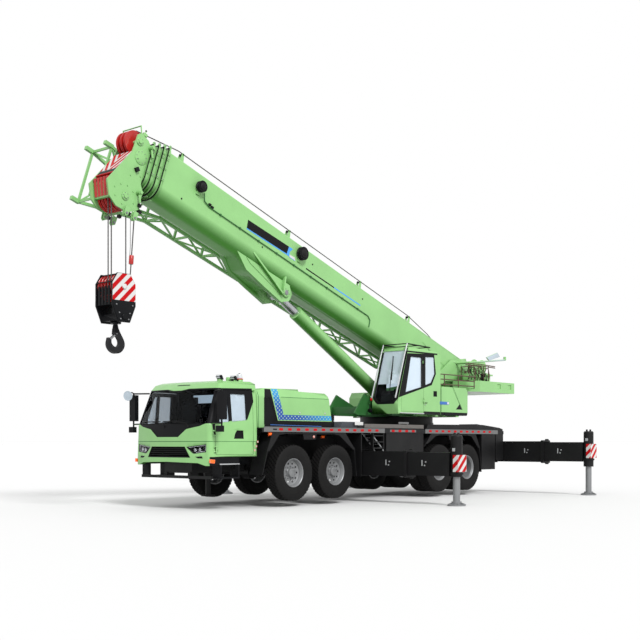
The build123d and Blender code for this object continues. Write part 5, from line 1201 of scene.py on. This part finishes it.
# hoist rope over its stands
ROPE_Y, ROPE_PERP, ROPE_RADIUS = 0.15, 0.50, 0.0115
LAST_STAND = (11.0, ROPE_Y, ROPE_PERP)
on_base = [(0.45, 0.0, 0.30), (1.3, 0.06, 0.44), (2.4, ROPE_Y, ROPE_PERP), LAST_STAND]
to_head = [LAST_STAND, (12.10, 0.10, 0.335)]
for line, path, body in (("boom", on_base, "boom"), ("head", to_head, "boom_section_5")):
    Shape().tube(path, ROPE_RADIUS).make(f"hoist_line_{line}", ROPE, body, place=ON_BOOM)
for number, along in enumerate((2.4, 4.6, 7.4, 10.9)):
    stand = Shape()
    cheek = [(along - 0.075, 0.200), (along + 0.075, 0.200), (along + 0.024, 0.490), (along - 0.024, 0.490)]
    for side, sign in SIDES:
        y = ROPE_Y + sign * 0.045
        stand.plate(cheek, y, sign * 0.008)
        stand.bolt((along, y, 0.462), sign * 0.022, 0.016, 1)
    roller = [(-0.044, 0), (-0.044, 0.034), (-0.030, 0.026), (0.030, 0.026), (0.044, 0.034), (0.044, 0)]
    stand.lathe(roller, (along, ROPE_Y, 0.462), ACROSS, 24, 1)
    stand.box((along - 0.09, along + 0.09), (ROPE_Y - 0.07, ROPE_Y + 0.07), (0.198, 0.216), 0)
    stand.make(f"rope_stand_{number}", [GREEN, IRON], "boom", place=ON_BOOM)

# webs and pin ends of the cylinder's bracket
EYE, PLATE_Y = (7.183, -1.017), 0.300
EYE_PLATE = [
    (8.60, -0.80), (7.10, -0.80), (7.02, -0.98), (7.15, -1.10), (7.32, -1.13), (7.62, -1.06), (8.45, -0.88),
]
WEBS = (
    ((8.50, -0.640), (7.62, -0.985), 0.044), ((7.62, -0.985), (7.30, -1.120), 0.044),
    ((7.30, -1.120), (7.36, -0.700), 0.040),
)
gusset = Shape()
for side, sign in SIDES:
    gusset.sign = sign
    gusset.plate(EYE_PLATE, PLATE_Y, 0.012)
    for first, last, thick in WEBS:
        gusset.plate(strip(first, last, thick), PLATE_Y, 0.092)
    gusset.button((EYE[0], PLATE_Y, EYE[1]), ACROSS, (0.030, 0.115), (0.040, 0.100), 36, 0)
    gusset.button((EYE[0], PLATE_Y + 0.036, EYE[1]), ACROSS, (0.014, 0.062), (0.020, 0.050), 28, 1)
    gusset.bolt_ring((EYE[0], PLATE_Y + 0.038, EYE[1]), 0.088, 6, 0.012, 0.010, 1)
gusset.make("eye_gussets", [GREEN, SILVER], "boom", bevel=0.003, place=ON_BOOM)


# ---------------- boom head
BOARD_TOP, BOARD_FOOT = Vector((12.190, -0.205)), Vector((12.478, -0.852))
BOARD_HALF = 0.262
WIDE = (-BOARD_HALF, BOARD_HALF)


def on_plane(x, z, run, fall):
    """The place of a board whose face goes forward by run over its fall."""
    return ON_BOOM @ Matrix.Translation((x, 0, z)) @ Matrix.Rotation(-math.atan2(run, fall), 4, "Y")


slant = BOARD_FOOT - BOARD_TOP
foot = -slant.length
head = Shape().box((-0.012, 0.0), WIDE, (foot + 0.15, 0.0), 0)
for sign in (1, -1):
    left, right = sorted((0.0, sign * BOARD_HALF))
    for mark in bands(rectangle(left, right, foot + 0.155, -0.005), sign * 1.7, 0.066, 0.02):
        head.prism(mark, "x", (-0.001, 0.003), 1)
head.box((-0.060, 0.0), WIDE, (foot + 0.045, foot + 0.140), 2)
head.box((-0.050, 0.004), WIDE, (foot + 0.005, foot + 0.035), 1)
board_place = on_plane(*BOARD_TOP, slant.x, -slant.y)
head.make("head_board", [WHITE, ROAD_RED, DARK], "boom_section_5", place=board_place)

guard = Shape()
for y in (-0.2, -0.1, 0.0, 0.1, 0.2):
    turns = [math.pi * k / 8 for k in range(9)]
    rib = [(0.012 + 0.030 * math.sin(turn), y - 0.044 * math.cos(turn)) for turn in turns]
    guard.prism(rib, "z", (-0.345, 0.020), 0)
guard.box((0.004, 0.016), WIDE, (-0.350, 0.024), 1)
guard.make("sheave_guard", [RED, DARK], "boom_section_5", place=on_plane(12.492, -0.945, -0.130, 0.300))

STUDS = (
    (11.92, -0.98), (12.08, -0.93), (12.24, -0.98), (12.36, -1.10), (12.30, -1.26),
    (12.10, -1.34), (11.84, -1.20), (11.85, -0.60), (12.08, -0.70), (12.02, -0.30),
)
fit = Shape()
for side, sign in SIDES:
    fit.sign = sign
    y = PLATE_Y
    diamond = [(11.923, -0.524), (11.985, -0.586), (12.047, -0.524), (11.985, -0.462)]
    fit.plate(diamond, y, 0.055, 1)
    for along, perp in ((12.07, -1.16), (12.08, 0.06)):
        fit.button((along, y, perp), ACROSS, (0.016, 0.085), (0.022, 0.070), 32)
        fit.bolt_ring((along, y + 0.015, perp), 0.066, 6, 0.013, 0.009, 2)
    # round inspection cover with a ring of bolts, and studs
    fit.button((11.955, y, -0.235), ACROSS, (0.010, 0.150), (0.014, 0.142), 40)
    fit.bolt_ring((11.955, y + 0.012, -0.235), 0.122, 9, 0.010, 0.009, 2)
    for along, perp in STUDS:
        fit.bolt((along, y, perp), 0.014, 0.013)
    # cylinders that stand out beside the sheave pins
    for perp in (0.06, -0.95):
        fit.bolt((11.80, y, perp), 0.10, 0.050, 0, 24)
        fit.bolt((11.80, y + 0.10, perp), 0.025, 0.036)
        fit.tube([(11.80, y + 0.07, perp - 0.05), (11.74, y + 0.08, perp - 0.20)], 0.022, 12)
    # fork lugs and clamps under the head
    for along in (11.76, 11.98):
        lug = [(along - 0.055, -1.36), (along + 0.055, -1.36), (along + 0.045, -1.52),
               (along, -1.555), (along - 0.045, -1.52)]
        for proud in (-0.010, 0.055):
            fit.plate(lug, y + proud, 0.022)
        fit.bolt((along, y - 0.03, -1.495), 0.125, 0.024, 2, 16)
    for along, perp in ((11.70, -1.18), (11.66, -1.30), (11.90, -1.46)):
        fit.box((along - 0.035, along + 0.035), (y - 0.02, y + 0.05), (perp - 0.03, perp + 0.03), 1)
fit.make("head_fittings", [GREEN, TRIM, SILVER], "boom_section_5", place=ON_BOOM)

top_sensor = Shape().box((11.93, 12.03), (0.245, 0.285), (0.245, 0.305), 0)
top_sensor.bar((11.98, 0.265, 0.30), (11.98, 0.265, 0.36), 0.012)
top_sensor.ball((11.98, 0.265, 0.365), 0.020, look=1)
top_sensor.make("head_sensor", [GREEN, TRIM], "boom_section_5", place=ON_BOOM)


# ---------------- hook block and hoist ropes
HOOK_X, HEAD_SHEAVE_Z, ROPE_FOOT = 6.459, 6.285, 4.50
FALL_X = 0.2603
STRAND_SIDES, STRAND_RADIUS, LAY_PITCH = 24, 0.0125, 0.085
falls = Shape()


def strand(start, end):
    """A wire rope: six lays wound round a line between two points."""
    start, end = Vector(start), Vector(end)
    axis = (end - start).normalized()
    across = axis.orthogonal().normalized()
    other = axis.cross(across)
    length = (end - start).length
    steps = max(8, int(length / 0.022))
    points = []
    for i in range(steps + 1):
        along = length * i / steps
        for k, (c, s) in enumerate(circle(STRAND_SIDES)):
            wound = math.tau * k / STRAND_SIDES - math.tau * along / (6 * LAY_PITCH)
            lay = 0.86 + 0.14 * abs(math.cos(3 * wound))
            points.append(start + axis * along + (across * c + other * s) * STRAND_RADIUS * lay)
    falls.add(points, ring_faces(STRAND_SIDES, steps + 1))


def about(*spread):
    """An (x, z) outline whose x values are given from the hook's middle."""
    return [(HOOK_X + x, z) for x, z in spread]


for x, y in ((FALL_X, 0.1), (FALL_X, 0.2), (-FALL_X, 0.0)):
    strand((HOOK_X + x, y, ROPE_FOOT), (HOOK_X + x, y, HEAD_SHEAVE_Z))
strand((6.250, 0.2, 4.716), (6.150, 0.2, 5.900))
falls.make("hoist_falls", ROPE, "rope_falls", stands_for=("hoist_ropes",), smooth=60)
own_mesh(bpy.data.objects["hoist_falls"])


def block_look(face, middle, look):
    """Red sheaves between dark cheeks; the pin's ends are white."""
    if abs(middle.y) < 0.236 and middle.z > 4.1:
        return 1
    return 0 if abs(middle.y) > 0.272 else 2


repaint("hook_block", [WHITE, RED, DARK, SILVER], [], also=block_look)
UPPER = about(
    (-0.285, 4.215), (0.285, 4.215), (0.285, 4.555), (0.157, 4.752), (-0.157, 4.752), (-0.285, 4.555),
)
LOWER = about(
    (-0.146, 3.80), (0.146, 3.80), (0.284, 4.122), (0.284, 4.205), (-0.284, 4.205), (-0.284, 4.122),
)
for side, sign in SIDES:
    plate = Shape(sign).plate(UPPER, 0.2695, 0.0045, 0)
    for mark in bands(UPPER, -0.95, 0.083, 0.035):
        plate.plate(mark, 0.2735, 0.003, 1)
    plate.make(f"block_plate_{side}", [WHITE, ROAD_RED], "hook_block")
    cover = Shape(sign).plate(LOWER, 0.2695, 0.0125)
    for x, z in ((0.20, 4.13), (0.13, 3.97), (0.10, 3.85)):
        for way in (-1, 1):
            cover.bolt((HOOK_X + way * x, 0.280, z), 0.016, 0.018, 1)
    cover.button((HOOK_X, 0.280, 3.90), ACROSS, (0.018, 0.062), (0.026, 0.050), 28)
    cover.make(f"block_cover_{side}", [DARK, SILVER], "hook_block", bevel=0.002)
guards = Shape()
for sign in (1, -1):
    for y in (-0.15, -0.05, 0.05, 0.15):
        guards.box((HOOK_X + sign * 0.274, HOOK_X + sign * 0.289), (y - 0.034, y + 0.034), (4.13, 4.50))
    for x, z, radius in ((0.272, 4.575, 0.012), (0.150, 4.735, 0.012), (0.262, 4.14, 0.014)):
        guards.bolt((HOOK_X + sign * x, -0.24, z), 0.48, radius, sides=20)
guards.make("block_guards", DARK, "hook_block")

# forged hook: the CAD form with its edges taken off
edges = {"width": 0.024, "segments": 4, "limit_method": "ANGLE", "angle_limit": math.radians(55)}
forging = shade(modified(NODES["hook"].data.copy(), "BEVEL", edges), 50)
show("hook_forging", level_normals(forging), FORGED, "hook", ("hook",))

# hook: turned nut, collar and a painted safety latch with its spring
LATCH = about((0.008, 3.585), (0.150, 3.470), (0.162, 3.446), (0.135, 3.438), (-0.006, 3.555))
swivel = Shape()
nut = [(0, 0.046), (0, 0.112), (0.028, 0.112), (0.036, 0.100), (0.036, 0.046)]
shank = [(0, 0.040), (0, 0.066), (0.10, 0.058), (0.14, 0.050), (0.14, 0.040)]
swivel.lathe(nut, (HOOK_X, 0, 3.775), UP, 40, 0)
swivel.lathe(shank, (HOOK_X, 0, 3.610), UP, 32, 0)
for y in (-0.030, 0.022):
    swivel.plate(LATCH, y, 0.008, 1)
swivel.bolt((HOOK_X + 0.010, -0.062, 3.572), 0.124, 0.012, 1, 12)
for k in range(4):
    coil = [(0, 0.014), (0, 0.024), (0.007, 0.024), (0.007, 0.014)]
    swivel.lathe(coil, (HOOK_X + 0.010, 0.0105 * k - 0.016, 3.572), ACROSS, 20, 1)
swivel.make("hook_swivel_parts", [DARK, SILVER], "hook")

# limit-switch weight on its chain round the dead line
weight = Shape()
can = [(0, 0.014), (0, 0.040), (0.012, 0.048), (0.170, 0.048), (0.182, 0.040), (0.182, 0.014)]
weight.lathe(can, (6.229, 0.2, 4.972), (-0.084, 0, 1), 28, 0)
weight.tube([(6.260, 0.2, 5.142), (6.266, 0.225, 5.32), (6.290, 0.257, 5.935)], 0.005, 8, 1)
weight.make("limit_weight", [RED, IRON], "rope_falls")
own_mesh(bpy.data.objects["limit_weight"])


# ---------------- outrigger ends
LEGS = {
    "front_left": (0.07, 0.915), "front_right": (-0.36, 0.915),
    "rear_left": (-6.26, 1.150), "rear_right": (-5.83, 1.150),
}
BOARD_FACE, BOARD_WIDE, BOARD_TALL = 4.0275, 0.165, 0.1875
LEG_Y = 3.885
# the small marks on beams and arms: place, half width, foot and top
LEG_MARKS = ((0.0, 0.014, -0.04, 0.09), (0.07, 0.018, -0.044, -0.016), (0.10, 0.018, 0.036, 0.064))
for leg, (x, z) in LEGS.items():
    sign = 1 if leg.endswith("left") else -1
    body = f"outrigger_{leg}_arm"
    middle = z + 0.025
    low, high = middle - BOARD_TALL, middle + BOARD_TALL
    outline = rectangle(x - BOARD_WIDE, x + BOARD_WIDE, low, high)
    marks = bands(outline, -sign * 0.95, 0.082, 0.03)
    board(f"board_{leg}", body, "y", sign * BOARD_FACE, sign, outline, marks)
    wing = rectangle(*sorted((sign * 3.900, sign * (BOARD_FACE + 0.0065))), low, high)
    for way, label in ((1, "front"), (-1, "back")):
        marks = bands(wing, sign * way * 0.95, 0.082, 0.03)
        board(f"board_{leg}_{label}", body, "x", x + way * 0.1655, way, wing, marks, 0.004)
    ends = Shape(sign)
    for way in (-1, 1):
        for dz in (-0.17, 0.17):
            ends.bolt((x + way * 0.13, BOARD_FACE + 0.006, middle + dz), 0.008, 0.011, 1)
        at = x + way * 0.120
        ends.box((at - 0.008, at + 0.008), (3.98, BOARD_FACE), (low + 0.03, high - 0.03), 0)
    # blank label, lifting lugs and collar of the jack housing
    ends.box((x + 0.126, x + 0.136), (3.86, 3.93), (high + 0.08, high + 0.15), 2)
    ring = [(-0.010, 0.128), (-0.010, 0.150), (0.012, 0.156), (0.034, 0.150), (0.034, 0.128)]
    ends.lathe(ring, (x, LEG_Y, low - 0.05), UP, 48, 0)
    crown = 1.70 if z > 1 else 1.57
    foot, top = crown - 0.008, crown + 0.050
    for dy in (-0.058, 0.042):
        lug = [(x - 0.05, foot), (x + 0.05, foot), (x + 0.03, top), (x - 0.03, top)]
        ends.plate(lug, LEG_Y + dy, 0.016)
    ends.make(f"board_brackets_{leg}", [BLACK, SILVER, PALE], body)
    for part, mark_y in ((f"outrigger_{leg}_beam", 2.05), (f"outrigger_{leg}_arm", 3.05)):
        face_x = face_at((part,), "x", 1, sign * mark_y, z, x)
        mark = Shape(sign)
        for y, half, foot, top in LEG_MARKS:
            spread = (mark_y + y - half, mark_y + y + half)
            mark.box((face_x - 0.001, face_x + 0.002), spread, (z + foot, z + top))
        mark.make(f"{part}_marks", PALE, part)


# ---------------- camera, floor and light
def staged(name, data, place=(0, 0, 0), towards=None):
    """Puts a camera, a light or the floor in the scene, looking at a target."""
    thing = bpy.data.objects.new(name, data)
    thing.location = place
    if towards:
        thing.rotation_euler = (Vector(towards) - Vector(place)).to_track_quat("-Z", "Y").to_euler()
    bpy.context.scene.collection.objects.link(thing)
    return thing


EYE_PLACE, SIGHT = Vector((19.881, 16.978, 1.415)), Vector((-0.757, -0.653, 0))
camera_data = bpy.data.cameras.new("camera")
camera_data.lens = 59.8
camera_data.sensor_width = 36
camera_data.shift_y = 0.1905
camera_data.clip_end = 3000
bpy.context.scene.camera = staged("camera", camera_data, EYE_PLACE, EYE_PLACE + SIGHT)

FLOOR_HALF, FLOOR_Z = 900, -0.001
corners = [(x, y, FLOOR_Z) for x, y in rectangle(-FLOOR_HALF, FLOOR_HALF, -FLOOR_HALF, FLOOR_HALF)]
floor_mesh = bpy.data.meshes.new("floor")
floor_mesh.from_pydata(corners, [], [(0, 1, 2, 3)])
floor_look = Look("floor")
floor_look.wire(floor_look.shader, {"Base Color": (0.62, 0.62, 0.62, 1), "Roughness": 0.95})
floor_mesh.materials.append(floor_look.material)
floor = staged("floor", floor_mesh)

world = bpy.data.worlds.new("studio")
world.use_nodes = True
world.node_tree.nodes["Background"].inputs["Color"].default_value = (1, 1, 1, 1)
world.node_tree.nodes["Background"].inputs["Strength"].default_value = 1.0
bpy.context.scene.world = world

sun_data = bpy.data.lights.new("sun", "SUN")
sun_data.energy = 2.9
sun_data.angle = math.radians(16)
staged("sun", sun_data, (8, 22, 22), (0, 0, 2))
bpy.context.scene.view_settings.view_transform = "Standard"
